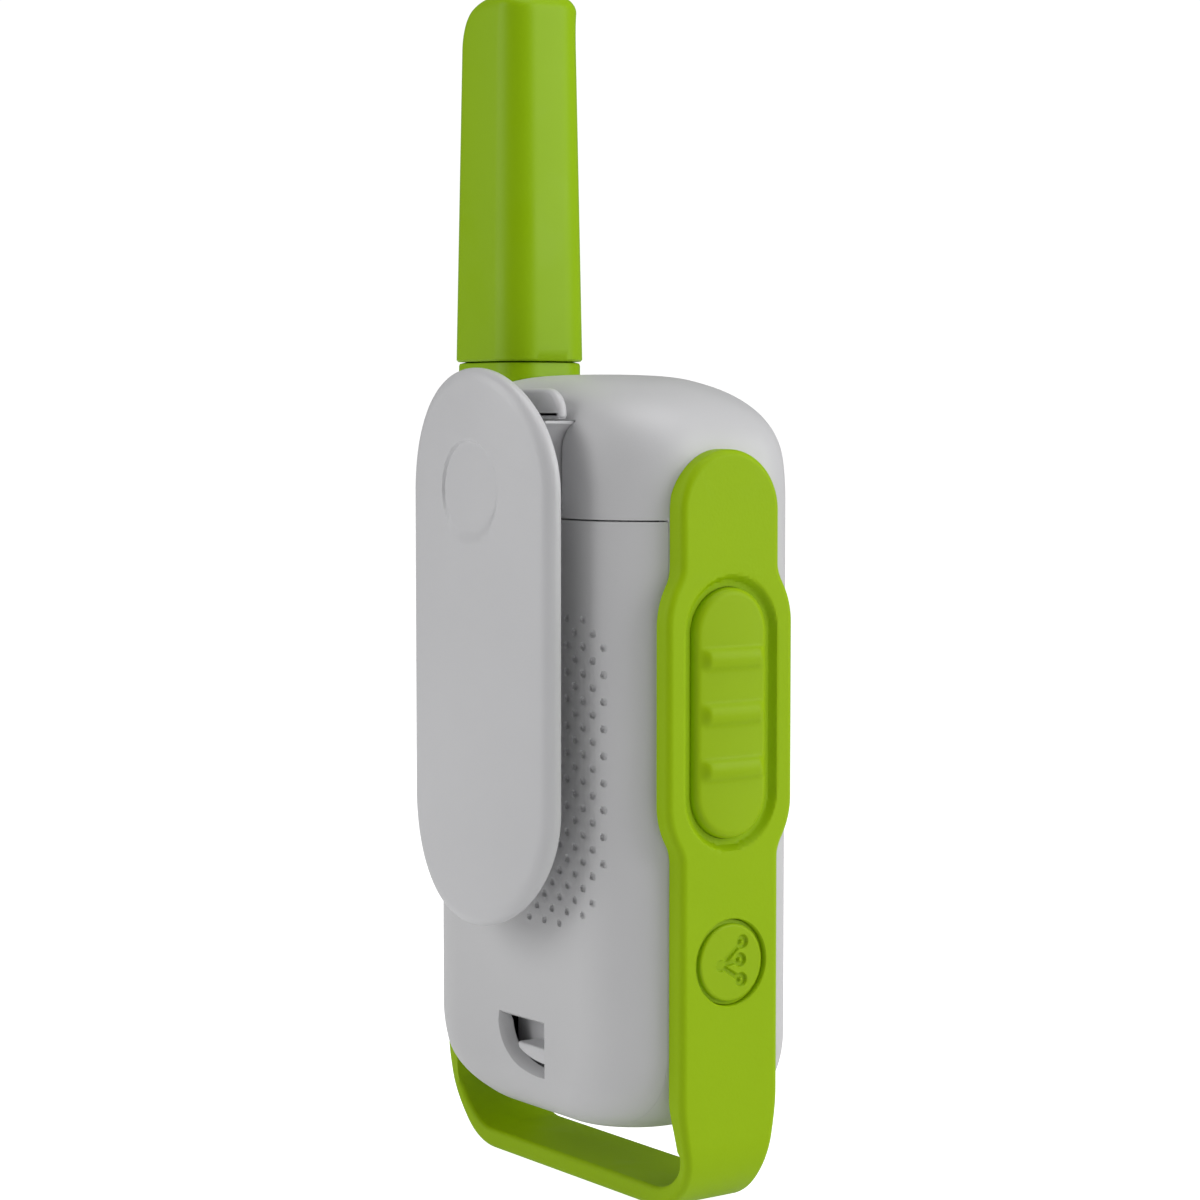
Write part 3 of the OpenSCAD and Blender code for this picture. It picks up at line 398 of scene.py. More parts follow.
grey = moulded("light grey ABS", srgb(207, 207, 208), srgb(198, 198, 200), 0.42)
fitted(housing, grey, "housing", "light_grey_abs", "main_housing")

# ---- Battery door --------------------------------------------------------------------------
# The lower back, moulded in the same grey ABS. It hooks under the crown at its top edge. A field
# of small round dimples is moulded into it behind the clip, and a finger opening near its foot
# lets a fingertip lift the catch.
DOT_PITCH, DOT_DEEP = 1.685, 0.5
DOT_RUN, DOT_Z = DOT_PITCH * np.arange(-11, 12), 39.3 + DOT_PITCH * np.arange(-5, 24)
FIELD_RUN, FIELD_Z, FIELD_MID = 20.1, 21.0, 56.3
FINGER_X, FINGER_TOP, FINGER_WIDE, FINGER_TALL, FINGER_POWER = -6.6, 22.4, 10.4, 7.1, 2.4


def spread(centres, offsets, low, high, gap):
    """Grid lines at each centre plus the offsets, and evenly spaced lines over the rest."""
    near = (centres[:, None] + offsets).ravel()
    rest = np.concatenate([np.arange(low, near.min() - gap / 2, gap),
                           np.arange(near.max() + gap, high, gap)])
    return np.unique(np.round(np.concatenate([near, rest, [low, high]]), 4))


arc_start = HALF_W - CORNER_BACK
around = np.array([-0.5, -0.36, -0.12, 0.12, 0.36, 0.5])
half_run = arc_start + CORNER_BACK * math.acos((SPLIT + SIDE_GAP - DEEP_BACK + CORNER_BACK) / CORNER_BACK)
door_cols = spread(DOT_RUN, around, -half_run, half_run, 0.9) / half_run
door_cols = np.unique(np.concatenate([door_cols, 1 - np.array([0.002, 0.005, 0.01]),
                                      np.array([0.002, 0.005, 0.01]) - 1]))[None, :]
door_levels = spread(DOT_Z, around, 20.4, Z_SEAM - GAP, 1.2)
door_levels = np.unique(np.concatenate([foot_levels[foot_levels > Z_LIP + GAP], [Z_LIP + GAP],
                                        door_levels, Z_SEAM - GAP - seam_lines]))[:, None]
outer = body_form(door_cols, door_levels, 1, 0, SPLIT + SIDE_GAP)
inner = body_form(door_cols, door_levels, 1, WALL, SPLIT + SIDE_GAP)
inward = inner - outer
inward /= np.linalg.norm(inward, axis=-1, keepdims=True)
run = door_cols * half_run + 0 * door_levels
k, m = (np.round((v - first) / DOT_PITCH) for v, first in ((run, DOT_RUN[0]), (outer[..., 2], DOT_Z[0])))
m += ((k + m) % 2 == 1) * np.where(outer[..., 2] - DOT_Z[0] > m * DOT_PITCH, 1, -1)
dot_run, dot_z = DOT_RUN[0] + k * DOT_PITCH, DOT_Z[0] + m * DOT_PITCH
field = 1 - np.abs(dot_run / FIELD_RUN) ** 4 - np.abs((dot_z - FIELD_MID) / FIELD_Z) ** 4
size = 0.44 + 0.1 * np.clip(field * 2.2, 0, 1)
off = np.hypot(run - dot_run, outer[..., 2] - dot_z)
dimple = DOT_DEEP * np.clip(1.8 - 1.8 * (off / size) ** 2, 0, 1) * (field > 0)
outer += inward * (dimple + eased(Z_SEAM - GAP - door_levels, EDGE_R))[..., None]
door = solid("battery_door_shell", *walled(outer, inner, np.ones((len(door_levels) - 1,
                                                                  door_cols.size - 1), bool), False))


def finger_shape(wide, tall, top):
    """Outline of the finger opening or of the pad in it: a flat top, one upright side, and for
    the rest a quarter of a superellipse, (x / wide)^p + (z / tall)^p = 1, about its corner."""
    x = FINGER_X + wide * np.sin(np.linspace(0, np.pi / 2, 24)) ** (2 / FINGER_POWER)
    z = FINGER_TOP - tall * np.maximum(1 - ((x - FINGER_X) / wide) ** FINGER_POWER, 0) ** (1 / FINGER_POWER)
    x, z = x[z < top - 0.8], z[z < top - 0.8]
    return np.concatenate([np.stack([x, z], -1), [[x[-1], top], [x[0], top]]])


funnel = [(0.7, 9), (0.7, 12.4), (0.3, 13.7), (0, 14.2), (-0.2, 14.45), (-0.2, 18)]
carve(door, loft("opening", finger_shape(FINGER_WIDE, FINGER_TALL, FINGER_TOP), funnel, along_y))
fitted(door, grey, "door", "light_grey_abs", "battery_door")

# ---- Catch ---------------------------------------------------------------------------------
# Slides behind the finger opening: a lighter grey plate with a thick pad for the fingertip, whose
# ledge the tip pushes up to let the door go.
catch = loft("door_catch", round_box(-7.9, 5.3, 13.1, 24.9, [0.8] * 4), ends(0.2, 9.65, 10.4), along_y)
carve(catch, loft("pad", finger_shape(9.3, 5.6, 18.9), ends(0.35, 10.0, 13.75), along_y), "UNION")
catch_grey = moulded("catch grey ABS", srgb(212, 212, 214), srgb(204, 204, 206), 0.38)
fitted(catch, catch_grey, "catch", "grey_abs_catch", "door_latch")

# ---- Strap ---------------------------------------------------------------------------------
# One moulding in green rubber, wrapped over both sides and left free under the foot as a loop.
# It swells out round the talk button, with a soft groove beside the pad.
OUT, TOP_MID, HALF_STRAP, LOOP_HALF = 27.0, 88.2, 7.7, 6.15
SWELL_R, SWELL_RUN = 9.9, 11.0
RIM, TRENCH_DEEP, TRENCH_REACH, TRENCH_RAMP = 0.95, 1.0, 1.6, 0.8
PAD_HALF, PAD_RUN = 5.75, 9.95


def blended(a, b, soft):
    """Smooth minimum of two distances: the lower one, rounded over where they cross."""
    h = np.clip(0.5 + 0.5 * (b - a) / soft, 0, 1)
    return b * (1 - h) + a * h - soft * h * (1 - h)


def strap_edge(y, z, swell):
    """Distance out from the strap's outline: a band with a round top, joined on one side with
    a stadium round the talk button. The band narrows into the loop."""
    narrow = np.clip((15 - z) / 13, 0, 1)
    half = HALF_STRAP + (LOOP_HALF - HALF_STRAP) * narrow * narrow * (3 - 2 * narrow)
    band = np.hypot(y, np.maximum(z - TOP_MID, 0)) - half
    lump = np.hypot(y, np.maximum(np.abs(z - Z_TALK) - SWELL_RUN, 0)) - SWELL_R
    return blended(band, lump, 0.9) if swell else band


def strap_half(z, swell):
    """Half the strap's width at each height, found by halving the span where its edge lies."""
    low, high = np.zeros_like(z), np.full_like(z, 13.0)
    for _ in range(40):
        mid = (low + high) / 2
        inside = strap_edge(mid, z, swell) < 0
        low, high = np.where(inside, mid, low), np.where(inside, high, mid)
    return low


def strap_path(step):
    """Half of the strap's line, from its round top down one side and round into the loop: the
    outer and inner points (x, z) to the middle of the loop, and the height that shapes it."""
    top = TOP_MID + HALF_STRAP * np.sin(np.linspace(np.pi / 2, 0.15, 26))
    down = np.arange(TOP_MID + 0.9, 9.2, -step)
    turn = np.linspace(0, np.pi / 2, 18)
    flat = np.linspace(18, 0, 14)[1:]
    z = np.concatenate([top, down, 9 - 9 * np.sin(turn), 0 * flat])
    x = np.concatenate([OUT + 0 * top, OUT + 0 * down, 18 + 9 * np.cos(turn), flat])
    deep = np.clip((z - 9) / 6, 0, 1)
    back = 25 - 0.95 * deep * deep * (3 - 2 * deep)
    x_in = np.concatenate([back[:len(top) + len(down)], 18.7 + 6.3 * np.cos(turn), flat * 18.7 / 18])
    z_in = np.concatenate([top, down, 9 - 6.3 * np.sin(turn), 2.7 + 0 * flat])
    shape = np.concatenate([top, down, 9 - 9 * turn, 9 - 9 * np.pi / 2 + 0 * flat])
    return x, z, x_in, z_in, shape


left, right = strap_path(0.36), strap_path(1.1)
join = [np.concatenate([side * a, b[::-1][1:]]) for a, b, side in zip(left, right, (-1, 1, -1, 1, 1))]
x, z, x_in, z_in, shape = (v[:, None] for v in join)
swell_here = np.arange(len(x))[:, None] < len(left[0])
half = np.where(swell_here, strap_half(shape, True), strap_half(shape, False))
across = np.sin(np.linspace(-np.pi / 2, np.pi / 2, 101))[None, :]
y = across * half
edge = -np.where(swell_here, strap_edge(y, shape, True), strap_edge(y, shape, False))
talk = np.hypot(y, np.maximum(np.abs(shape - Z_TALK) - PAD_RUN, 0)) - PAD_HALF
trench = np.clip((TRENCH_REACH - talk) / TRENCH_RAMP, 0, 1) * swell_here
drop = eased(edge, RIM) + TRENCH_DEEP * trench * trench * (3 - 2 * trench)
hug = np.clip((np.abs(y) - 7.2) / 1.0, 0, 1) * (x_in < -23.9)
x_in = x_in - hug * 0.55
outer = np.stack(np.broadcast_arrays(x, y, z), -1)
inner = np.stack(np.broadcast_arrays(x_in, y, z_in), -1)
inward = np.stack(np.broadcast_arrays(x_in - x, 0 * y, z_in - z), -1)
inward /= np.linalg.norm(inward, axis=-1, keepdims=True)
outer += inward * drop[..., None]
loop_rows = (shape < 7.5)
inner -= inward * (eased(edge, 0.7) * loop_rows)[..., None]
strap = solid("rubber_strap", *walled(outer, inner, np.ones((len(x) - 1, across.size - 1), bool), False), 40)
carve(strap, loft("talk_hole", moved(stadium(11.62, 31.52, 9, 43), 0, Z_TALK), [(0, 22), (0, 30)], out_left))
carve(strap, loft("pair_hole", moved(stadium(10.9, 10.9, arc=36), 0, Z_PAIR),
                  [(0, 22), (0, 26.75), (-0.08, 26.93), (-0.3, 27.1), (-0.3, 30)], out_left))
rubber = moulded("green rubber", srgb(154, 189, 0), srgb(147, 183, 0), 0.52, pit=0.2, grain=2600.0,
                 Specular_IOR_Level=0.14)
fitted(strap, rubber, "housing", "green_tpe", "side_strap")

# ---- Talk button ---------------------------------------------------------------------------
# Green rubber over a stiff core: a long crowned pad that sits in the strap's groove, with three
# rounded grip ridges across it.
PAD_OUT, PAD_CROWN = 27.35, 0.35
RIDGE, RIDGE_PITCH, RIDGE_HALF, RIDGE_LONG, RIDGE_RAMP = 0.65, 6.9, 1.42, 5.2, 1.4


def talk_face(a, b):
    """Height of the pad: a low crown that falls off to its rim, and three bars across it. A bar's
    section is (1 - (b / half)^2)^0.75, and a smooth ramp closes its two ends."""
    from_edge = PAD_HALF - np.hypot(a, np.maximum(np.abs(b - Z_TALK) - PAD_RUN, 0))
    crown = PAD_OUT - PAD_CROWN * (a / PAD_HALF) ** 2 - eased(from_edge, 1.0)
    bars = 0
    for mid in (-RIDGE_PITCH, 0, RIDGE_PITCH):
        over = np.clip(1 - ((b - Z_TALK - mid) / RIDGE_HALF) ** 2, 0, 1)
        run = np.clip((RIDGE_LONG - np.abs(a + 0.15)) / RIDGE_RAMP, 0, 1)
        bars = bars + over**0.75 * run * run * (3 - 2 * run)
    return crown + RIDGE * bars


pad_rings = [(PAD_HALF - v, talk_face) for v in np.linspace(0, 4.7, 20)]
pad_rings += [(v, talk_face) for v in (0.85, 0.6, 0.4, 0.22, 0.1, 0.03, 0)]
pad_rings += [(0, 26), (0, 23.95), (-0.75, 23.9), (-0.75, 23.2)]
talk_pad = loft("talk_pad", moved(stadium(11.5, 31.4, 76, 44), 0, Z_TALK), pad_rings, out_left, 60)
button_rubber = moulded("green button rubber", srgb(152, 186, 0), srgb(146, 180, 0), 0.48, pit=0.14,
                        grain=2600.0, Specular_IOR_Level=0.16)
fitted(talk_pad, button_rubber, "talk", "green_tpe_button", "ptt_button")

# ---- Pair button ---------------------------------------------------------------------------
# A flat round button in the strap. A plain branching sign is sunk into its face: one dot joined
# by three lines to three rings.
PAIR_R, PAIR_OUT, SIGN_DEEP = 4.9, 26.98, 0.4


def pair_face(a, b):
    """Height of the button's face: flat, eased at its rim, less the sign. The sign's depth comes
    from the least distance to three straight lines, one disc and three rings."""
    from_edge = PAIR_R - np.hypot(a, b - Z_PAIR)
    u, v = a, b - Z_PAIR
    root = np.array([1.6, -0.3])
    nearest = np.hypot(u - root[0], v - root[1]) - 0.7
    for tip in ((-1.75, 2.45), (-1.45, 0.2), (-1.6, -2.3)):
        line = np.array(tip) - root
        share = np.clip(((u - root[0]) * line[0] + (v - root[1]) * line[1]) / (line @ line), 0, 0.8)
        nearest = np.minimum(nearest, np.hypot(u - root[0] - share * line[0],
                                               v - root[1] - share * line[1]) - 0.3)
        nearest = np.minimum(nearest, np.abs(np.hypot(u - tip[0], v - tip[1]) - 0.55) - 0.3)
    sunk = np.clip(0.5 - nearest / 0.16, 0, 1)
    return PAIR_OUT - eased(from_edge, 0.4) - SIGN_DEEP * sunk * sunk * (3 - 2 * sunk)


face_rings = [(PAIR_R - r, pair_face) for r in np.linspace(0, 4.5, 44)]
face_rings += [(v, pair_face) for v in (0.3, 0.2, 0.12, 0.05, 0)]
face_rings += [(0, 26.4), (-0.44, 26.35), (-0.44, 24.2)]
disc_plan = moved(stadium(2 * PAIR_R, 2 * PAIR_R, arc=110), 0, Z_PAIR)
pair_disc = loft("pair_disc", disc_plan, face_rings, out_left, 50)
fitted(pair_disc, button_rubber, "pair", "green_tpe_button", "pair_button")

# ---- Belt clip -----------------------------------------------------------------------------
# Light grey ABS: a bridge that slides into the housing's channel, a long crowned paddle that
# springs over a belt, and a release tab whose finger plate stands above the bridge.
CROWN_R, PADDLE_OUT, PADDLE_T, Z_PADDLE, PADDLE_W, PADDLE_H = 73.0, 21.6, 2.0, 70.5, 31.7, 71.2
DISC_Z, DISC_R, DISC_RAMP, DISC_DEEP = 90.66, 6.45, 0.42, 0.4


def paddle_out(a, b):
    """Outer face of the paddle: part of a cylinder about an upright line, sqrt(r^2 - x^2), with
    a shallow plain disc sunk near its top."""
    disc = np.clip((DISC_R - np.hypot(a, b - DISC_Z)) / DISC_RAMP, 0, 1)
    return PADDLE_OUT - CROWN_R + np.sqrt(CROWN_R**2 - a * a) - DISC_DEEP * disc * disc * (3 - 2 * disc)


def paddle_in(a, _):
    """Inner face of the paddle, one thickness inside the outer face."""
    return PADDLE_OUT - CROWN_R + np.sqrt((CROWN_R - PADDLE_T) ** 2 - a * a)


def rim_blend(share):
    """A face that lies a share of the way from the paddle's outer face (0) to its inner one (1)."""
    return lambda a, b: paddle_out(a, b) * (1 - share) + paddle_in(a, b) * share


turn = np.linspace(0, np.pi / 2, 9)
inset = np.concatenate([np.linspace(PADDLE_W / 2, 11, 9)[:-1], np.linspace(11, 8, 26)[:-1],
                        np.linspace(8, 1.9, 12)])
paddle_rings = [(v, paddle_out) for v in inset]
paddle_rings += [(1.7 - 1.7 * math.sin(t), rim_blend(0.6 - 0.6 * math.cos(t))) for t in turn]
paddle_rings += [(0.5 - 0.5 * math.sin(t), rim_blend(0.75 + 0.25 * math.cos(t))) for t in turn[::-1]]
paddle_rings += [(v, paddle_in) for v in (1.5, 3, 6, 9, 12, PADDLE_W / 2)]
blade = moved(stadium(PADDLE_W, PADDLE_H, 60, 70), 0, Z_PADDLE)
paddle = loft("clip_paddle_blade", blade, paddle_rings, along_y, 40)
root = loft("root", round_box(-9.8, 9.8, 89.6, BRIDGE_TOP, [1.2] * 4), ends(0.3, 18.55, 20.4), along_y)
carve(paddle, root, "UNION")

block = [(0.15, 13.5), (0.04, 13.54), (0, 13.65), (0, 18.15), (0.04, 18.26), (0.15, 18.3)]
bridge = loft("clip_bridge_block", bell(0, BRIDGE_TOP), block, along_y, 30)
carve(bridge, loft("pocket", round_box(-7, 7, 89.2, 103, [0.8] * 4), [(0, 14.3), (0, 17.0)], along_y))
carve(bridge, loft("slot", round_box(-7, 7, 95.4, 103, [0.5] * 4), [(0, 12), (0, 14.6)], along_y))

plate = round_box(-12.5, 12.5, 99.75, 103.45, [0.3, 0.3, 3.2, 3.2])
tab = loft("release_tab", plate, ends(0.6, 14.6, 16.0), along_y)
tongue, neck = round_box(-6.7, 6.7, 89.5, 100.6, [0.4] * 4), round_box(-12.1, 12.1, 99.58, 100.7, [0.1] * 4)
carve(tab, loft("tongue", tongue, [(0, 14.62), (0, 15.98)], along_y), "UNION")
carve(tab, loft("neck", neck, [(0, 14.75), (0, 15.85)], along_y), "UNION")
clip_grey = moulded("clip grey ABS", srgb(209, 209, 211), srgb(201, 201, 203), 0.4)
fitted(paddle, clip_grey, "paddle", "light_grey_clip", "clip_paddle")
fitted(bridge, clip_grey, "housing", "light_grey_clip", "clip_bridge")
fitted(tab, clip_grey, "release", "light_grey_clip", "clip_release_tab")

# ---- Aerial --------------------------------------------------------------------------------
# A stub aerial in a soft green sheath: a round-cornered rectangle in plan that narrows to its
# tip, over a slightly smaller collar with a fine groove between the two.
Z_TIP, Z_GROOVE, TAPER = 155.7, 107.2, 0.12
SHEATH_W, SHEATH_D, CORNERS = 8, 7, (5.6, 4.2, 3.8, 4.4)  # half width and depth, corner radii
TIP_FAR, TIP_NEAR, TIP_FLAT = 6.8, 2.4, 2.2


def sheath(levels):
    """Points of the sheath, one outline a level. The outline narrows in a straight taper. Near the
    tip its +X side comes in along a large quarter circle and its -X side along a small one, and
    the front and back along a third, and the top is domed."""
    rows = []
    for z in levels:
        up = Z_TIP - z
        k = 1 - TAPER * (z - Z_GROOVE) / (Z_TIP - Z_GROOVE)
        far, near, flat = (float(drawn_in(np.array(up), r, 2.0)) for r in (TIP_FAR, TIP_NEAR, TIP_FLAT))
        w, d = SHEATH_W * k, SHEATH_D * k
        p = round_box(-w, w, -d, d, [r * k for r in CORNERS], 12)
        x = p[:, 0] / w * (w - far + w - near) / 2 + (near - far) / 2
        y = p[:, 1] * (d - flat) / d
        ridge = 0.5 * np.clip(1 - up / 6, 0, 1) ** 2 * (x / 8 - 0.1)
        rows.append(np.stack([AERIAL_X + x, AERIAL_Y + y, z - 0.012 * (x * x + y * y) *
                              np.clip(1 - up / 3, 0, 1) - ridge], -1))
    return np.stack(rows)


tip_levels = Z_TIP - 7 * (1 - np.sin(np.linspace(0, np.pi / 2, 22)))
sides = np.concatenate([np.linspace(Z_GROOVE + 0.3, 148, 30), tip_levels])
skin = sheath(sides)
foot = skin[:1] * [1, 1, 0] + [0, 0, Z_GROOVE + 0.05]
middle = np.array([AERIAL_X, AERIAL_Y, 0])
foot = (foot - middle) * [0.975, 0.97, 1] + middle
top_mid = skin[-1].mean(0)
cap = np.stack([top_mid + (skin[-1] - top_mid) * s for s in (0.8, 0.6, 0.4, 0.2, 0.0)])
base = np.stack([foot[0] + (foot[0].mean(0) - foot[0]) * s for s in (1, 0.5)])
wall_points = np.concatenate([base, foot, skin, cap])
count, n = wall_points.shape[:2]
i = np.arange(n)
quads = np.concatenate([np.stack([k * n + i, k * n + np.roll(i, -1), (k + 1) * n + np.roll(i, -1),
                                  (k + 1) * n + i], -1) for k in range(count - 1)])
aerial = solid("aerial_skin", wall_points, quads.tolist(), 40)
foot_plan = moved(round_box(-7.7, 7.7, -6.7, 6.7, [5.3, 4, 3.6, 4.2], 12), AERIAL_X, AERIAL_Y)
collar = loft("aerial_foot", foot_plan, [(0, 97), (0, 106.7), (0.12, 107.0), (0.9, Z_GROOVE)], upright)
aerial_green = moulded("aerial green rubber", srgb(147, 187, 0), srgb(142, 182, 0), 0.42, pit=0.06,
                       grain=4200.0, Specular_IOR_Level=0.18)
fitted(aerial, aerial_green, "housing", "green_aerial", "aerial_sheath")
fitted(collar, aerial_green, "housing", "green_aerial", "aerial_collar")

# ---- Front: lens and keys ------------------------------------------------------------------
# A smoked acrylic lens glued into its seat over the display, and three green rubber keys that
# stand a little proud of the face, with a plain ring and two plain arrows sunk into them.
KEY_W, SIDE_KEY_W, KEY_OUT, KEY_CROWN = 9, 7.4, 14.8, 0.012
pane = round_box(-15.5, 15.5, Z_LENS - 10.5, Z_LENS + 10.5, [3] * 4, 10)
lens = loft("lens_pane", pane, ends(0.25, -13.9, -13.0), along_y)


def key_face(middle, mark):
    """Height of a key's face, which is -Y: flat with a low crown, less a small sunk mark."""
    def height(a, b):
        sunk = np.clip(0.5 - mark(a - middle, b - Z_KEYS) / 0.2, 0, 1)
        return KEY_OUT - KEY_CROWN * ((a - middle) ** 2 + (b - Z_KEYS) ** 2) - 0.2 * sunk
    return height


def out_front(a, b, h):
    """The outline lies in X and Z, and height goes out through the front."""
    return np.stack([a, -h, b], -1)


def ring_mark(u, v):
    """Distance out from a small ring."""
    return np.abs(np.hypot(u, v) - 1.6) - 0.3


def arrow_mark(way):
    """Distance out from a small solid triangle that points up (1) or down (-1)."""
    return lambda u, v: np.maximum(np.abs(u) * 0.86 + (v * way) * 0.5 - 0.8, -v * way - 0.9)


def key(name, outline, half, face):
    """A key: its face in rings from the middle, a quarter-round rim, its skirt and its foot."""
    inside = [(v, face) for v in np.linspace(half, 0.5, 26)]
    rims = [(0.5 - 0.5 * math.sin(t), (lambda q: lambda a, b: face(a, b) - 0.5 * (1 - math.cos(q)))(t))
            for t in np.linspace(0.2, math.pi / 2, 6)]
    return loft(name, outline, inside + rims + [(0, 12.3), (-0.8, 12.2), (-0.8, 11.4)], out_front, 50)


side_plan = stadium(SIDE_KEY_W, KEY_W, 8, 32)
middle = key("middle_key", moved(stadium(KEY_W, KEY_W, arc=40), 0, Z_KEYS), KEY_W / 2, key_face(0, ring_mark))
raiser = key("up_arrow_key", moved(side_plan, KEY_X, Z_KEYS), SIDE_KEY_W / 2, key_face(KEY_X, arrow_mark(1)))
lowerer = key("down_arrow_key", moved(side_plan, -KEY_X, Z_KEYS), SIDE_KEY_W / 2,
              key_face(-KEY_X, arrow_mark(-1)))
fitted(middle, button_rubber, "menu", "green_key", "menu_key")
fitted(raiser, button_rubber, "up", "green_key", "up_key")
fitted(lowerer, button_rubber, "down", "green_key", "down_key")
smoke = moulded("smoked acrylic", srgb(30, 33, 36), srgb(24, 27, 30), 0.08, pit=0.01, gloss_rub=0.1,
                Coat_Weight=0.4)
fitted(lens, smoke, "housing", "smoked_lens", "display_lens")

# ---- Works ---------------------------------------------------------------------------------
# What the shell hides: board, display, loudspeaker, switches, tray, cells and the aerial's coil.
# They keep the shapes that they were packed with.
def striped(material, axis, scale, colour, share):
    """Lays bands of another colour over a material, across one axis."""
    tree = material.node_tree
    shader = next(n for n in tree.nodes if n.type == "BSDF_PRINCIPLED")
    place = next(n for n in tree.nodes if n.type == "TEX_COORD")
    wave = joined(tree, "ShaderNodeTexWave", bands_direction=axis, Vector=place.outputs["Object"],
                  Scale=scale, Distortion=0.0)
    ramp = joined(tree, "ShaderNodeMapRange", Value=wave.outputs["Fac"])
    ramp.inputs["From Min"].default_value, ramp.inputs["From Max"].default_value = share, share + 0.04
    old = shader.inputs["Base Color"].links[0].from_socket
    mix = joined(tree, "ShaderNodeMix", data_type="RGBA", i0=ramp.outputs[0], i6=old, i7=colour)
    tree.links.new(mix.outputs[2], shader.inputs["Base Color"])
    return material


def metal(name, colour, deeper, rough, grain=2500.0):
    """Plated or drawn metal with a faint grain and duller, rubbed patches."""
    return moulded(name, colour, deeper, rough, pit=0.05, grain=grain, gloss_rub=0.15, metal=1.0)


inside = {
    moulded("nylon former", srgb(232, 228, 214), srgb(222, 217, 200), 0.45): ["aerial_core"],
    striped(metal("copper wire", srgb(190, 120, 70), srgb(160, 92, 50), 0.3), "Z", 900.0,
            srgb(120, 60, 30), 0.8): ["aerial_coil"],
    metal("sprung bronze", srgb(200, 176, 120), srgb(180, 150, 96), 0.35): ["aerial_contact"],
    striped(moulded("display glass", srgb(150, 160, 132), srgb(140, 151, 124), 0.12, pit=0.01), "X", 500.0,
            srgb(132, 144, 118), 0.9): ["lcd_module"],
    moulded("white frame", srgb(226, 226, 222), srgb(216, 216, 211), 0.5): ["lcd_holder"],
    moulded("black switch", srgb(34, 34, 36), srgb(26, 26, 28), 0.4):
        ["key_switches", "ptt_switch", "pair_switch"],
    striped(moulded("circuit board", srgb(26, 92, 52), srgb(20, 76, 42), 0.32, pit=0.05), "Z", 420.0,
            srgb(44, 122, 70), 0.72): ["main_board"],
    metal("tinned steel", srgb(190, 190, 186), srgb(168, 168, 164), 0.35): ["rf_shield", "microphone"],
    moulded("speaker basket", srgb(48, 48, 50), srgb(38, 38, 40), 0.5): ["speaker_frame"],
    striped(moulded("speaker paper", srgb(70, 68, 64), srgb(56, 54, 50), 0.85, pit=0.5, grain=1200.0),
            "DIAGONAL", 600.0, srgb(60, 58, 54), 0.8): ["speaker_cone"],
    moulded("ferrite", srgb(70, 70, 74), srgb(54, 54, 58), 0.55, pit=0.35, grain=1500.0): ["speaker_magnet"],
    moulded("black felt", srgb(26, 26, 26), srgb(16, 16, 16), 0.95, pit=0.8, grain=1800.0, Sheen_Weight=0.3):
        ["speaker_felt"],
    moulded("dark grey ABS", srgb(66, 66, 68), srgb(58, 58, 60), 0.5): ["battery_tray"],
    striped(moulded("cell jacket", srgb(186, 188, 192), srgb(170, 172, 178), 0.28, pit=0.03, metal=0.6),
            "Z", 7.0, srgb(60, 66, 82), 0.62): ["cell_left", "cell_middle", "cell_right"],
    metal("nickel plate", srgb(206, 202, 190), srgb(186, 182, 170), 0.28):
        ["contact_springs", "contact_plates"],
    metal("zinc screws", srgb(176, 178, 184), srgb(150, 152, 160), 0.38): ["tray_screws", "board_screws"],
}
for material, names in inside.items():
    for node in names:
        NODES[node].data.materials.clear()
        NODES[node].data.materials.append(material)

# ---- Stage ---------------------------------------------------------------------------------
# A lit white floor, a soft box on either side, one overhead, and a camera at the height of the
# clip that looks at the back left corner.
BEARING, PAN, FAR, HIGH, PITCH = 234.28, 0.10, 383.89, 99.81, math.radians(3.57)
aim, turned = math.radians(BEARING), math.radians(BEARING + PAN)
over_floor = math.cos(PITCH)
backward = np.array([math.sin(turned) * over_floor, -math.cos(turned) * over_floor, math.sin(PITCH)])
sideways = np.cross(-backward, [0, 0, 1])
sideways /= np.linalg.norm(sideways)
axes = np.stack([sideways, np.cross(sideways, -backward), backward], 1)
camera = bpy.data.objects.new("camera", bpy.data.cameras.new("camera"))
placed = np.eye(4)
placed[:3, :3] = axes
placed[:3, 3] = np.array([FAR * math.sin(aim), -FAR * math.cos(aim), HIGH]) * MM
camera.matrix_world = Matrix(placed.tolist())
camera.data.lens, camera.data.sensor_width = 87.79, 36.0
camera.data.clip_start, camera.data.clip_end = 0.01, 20
bpy.context.scene.collection.objects.link(camera)
bpy.context.scene.camera = camera


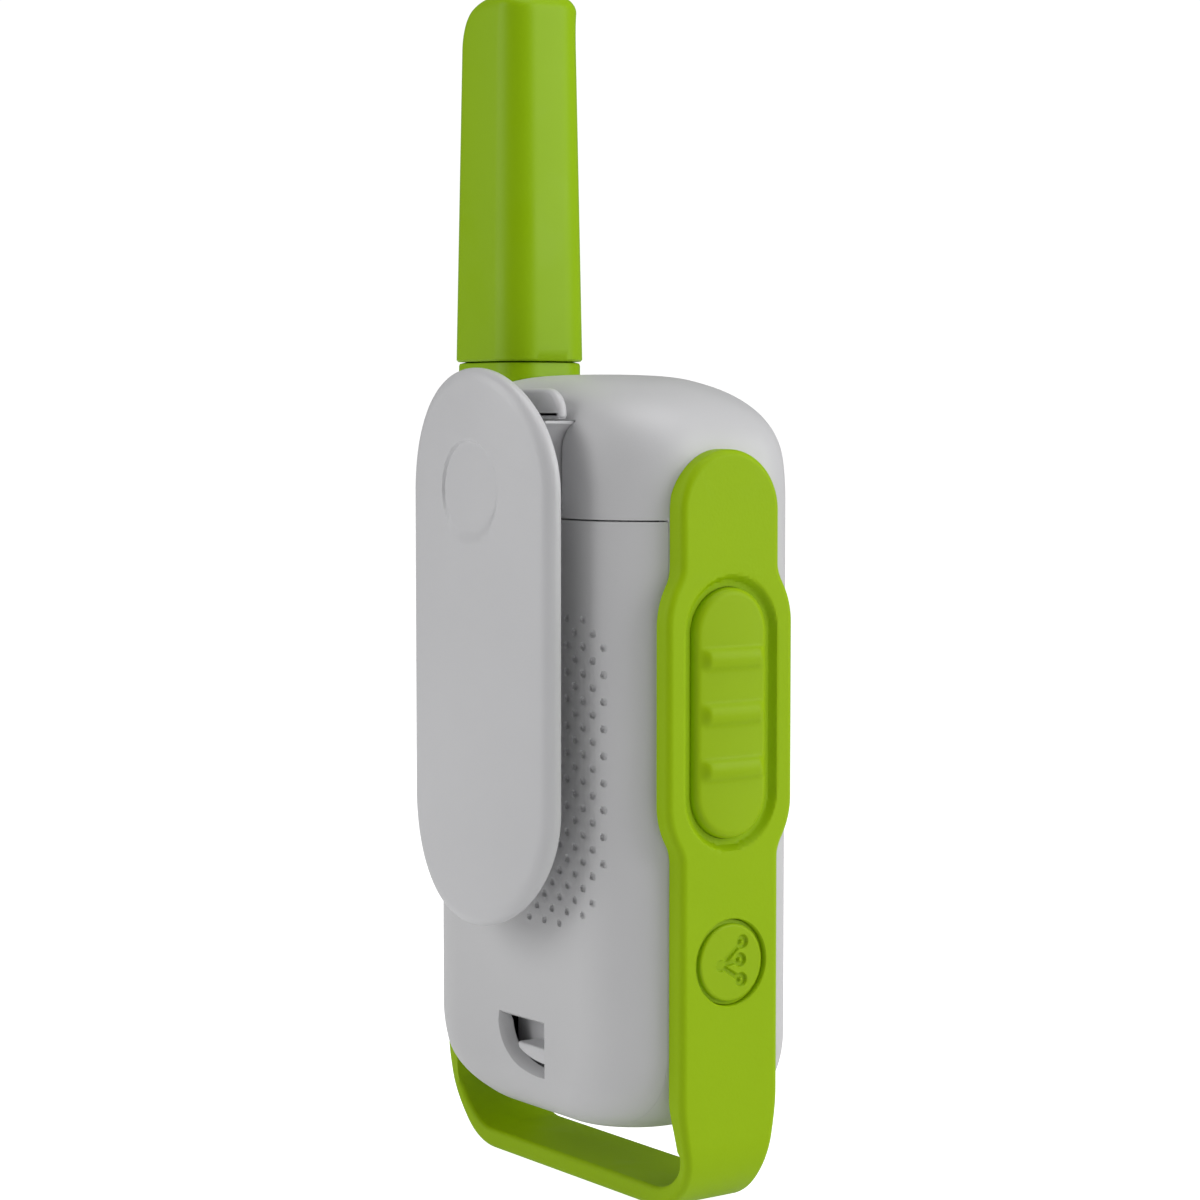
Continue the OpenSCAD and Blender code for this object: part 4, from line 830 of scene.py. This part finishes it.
def soft_box(name, bearing, height, distance, size, power):
    """A square light at a bearing round the radio, counted from the camera's, aimed at its middle."""
    lamp = bpy.data.lights.new(name, "AREA")
    lamp.shape, lamp.size, lamp.energy = "SQUARE", size, power
    at = math.radians(BEARING + bearing)
    spot = np.array([distance * math.sin(at), -distance * math.cos(at), height])
    back = spot - [0, 0, 0.07]
    back /= np.linalg.norm(back)
    side = np.cross([0, 0, 1.0], back)
    side /= np.linalg.norm(side)
    pose = np.eye(4)
    pose[:3, :3] = np.stack([side, np.cross(back, side), back], 1)
    pose[:3, 3] = spot
    held = bpy.data.objects.new(name, lamp)
    held.matrix_world = Matrix(pose.tolist())
    bpy.context.scene.collection.objects.link(held)


soft_box("right box", 74, 0.35, 0.75, 0.6, 3.9)
soft_box("left box", -80, 0.35, 0.75, 0.6, 2.7)
soft_box("top box", 60, 0.9, 0.2, 0.6, 3.2)
sky = bpy.data.worlds.new("studio")
sky.use_nodes = True
tree = sky.node_tree
tree.nodes.clear()
seen = joined(tree, "ShaderNodeLightPath")
bright = joined(tree, "ShaderNodeMapRange", Value=seen.outputs["Is Camera Ray"])
bright.inputs["To Min"].default_value, bright.inputs["To Max"].default_value = 0.12, 1.05
glow = joined(tree, "ShaderNodeBackground", Color=(1, 1, 1, 1), Strength=bright.outputs[0])
joined(tree, "ShaderNodeOutputWorld", Surface=glow.outputs[0])
bpy.context.scene.world = sky

floor = loft("white_floor", stadium(5000, 5000, arc=60), [(0, -1.02), (0, -0.02)], upright)
acrylic = moulded("lit white acrylic", srgb(190, 190, 190), srgb(188, 188, 188), 0.9, pit=0.02,
                  Emission_Color=(1, 1, 1, 1))
ray = joined(acrylic.node_tree, "ShaderNodeLightPath")
lit = joined(acrylic.node_tree, "ShaderNodeMapRange", Value=ray.outputs["Is Camera Ray"])
lit.inputs["To Min"].default_value, lit.inputs["To Max"].default_value = 0.36, 1.0
lit_shader = next(n for n in acrylic.node_tree.nodes if n.type == "BSDF_PRINCIPLED")
acrylic.node_tree.links.new(lit.outputs[0], lit_shader.inputs["Emission Strength"])
floor.data.materials.append(acrylic)
bpy.context.scene.view_settings.view_transform = "Standard"
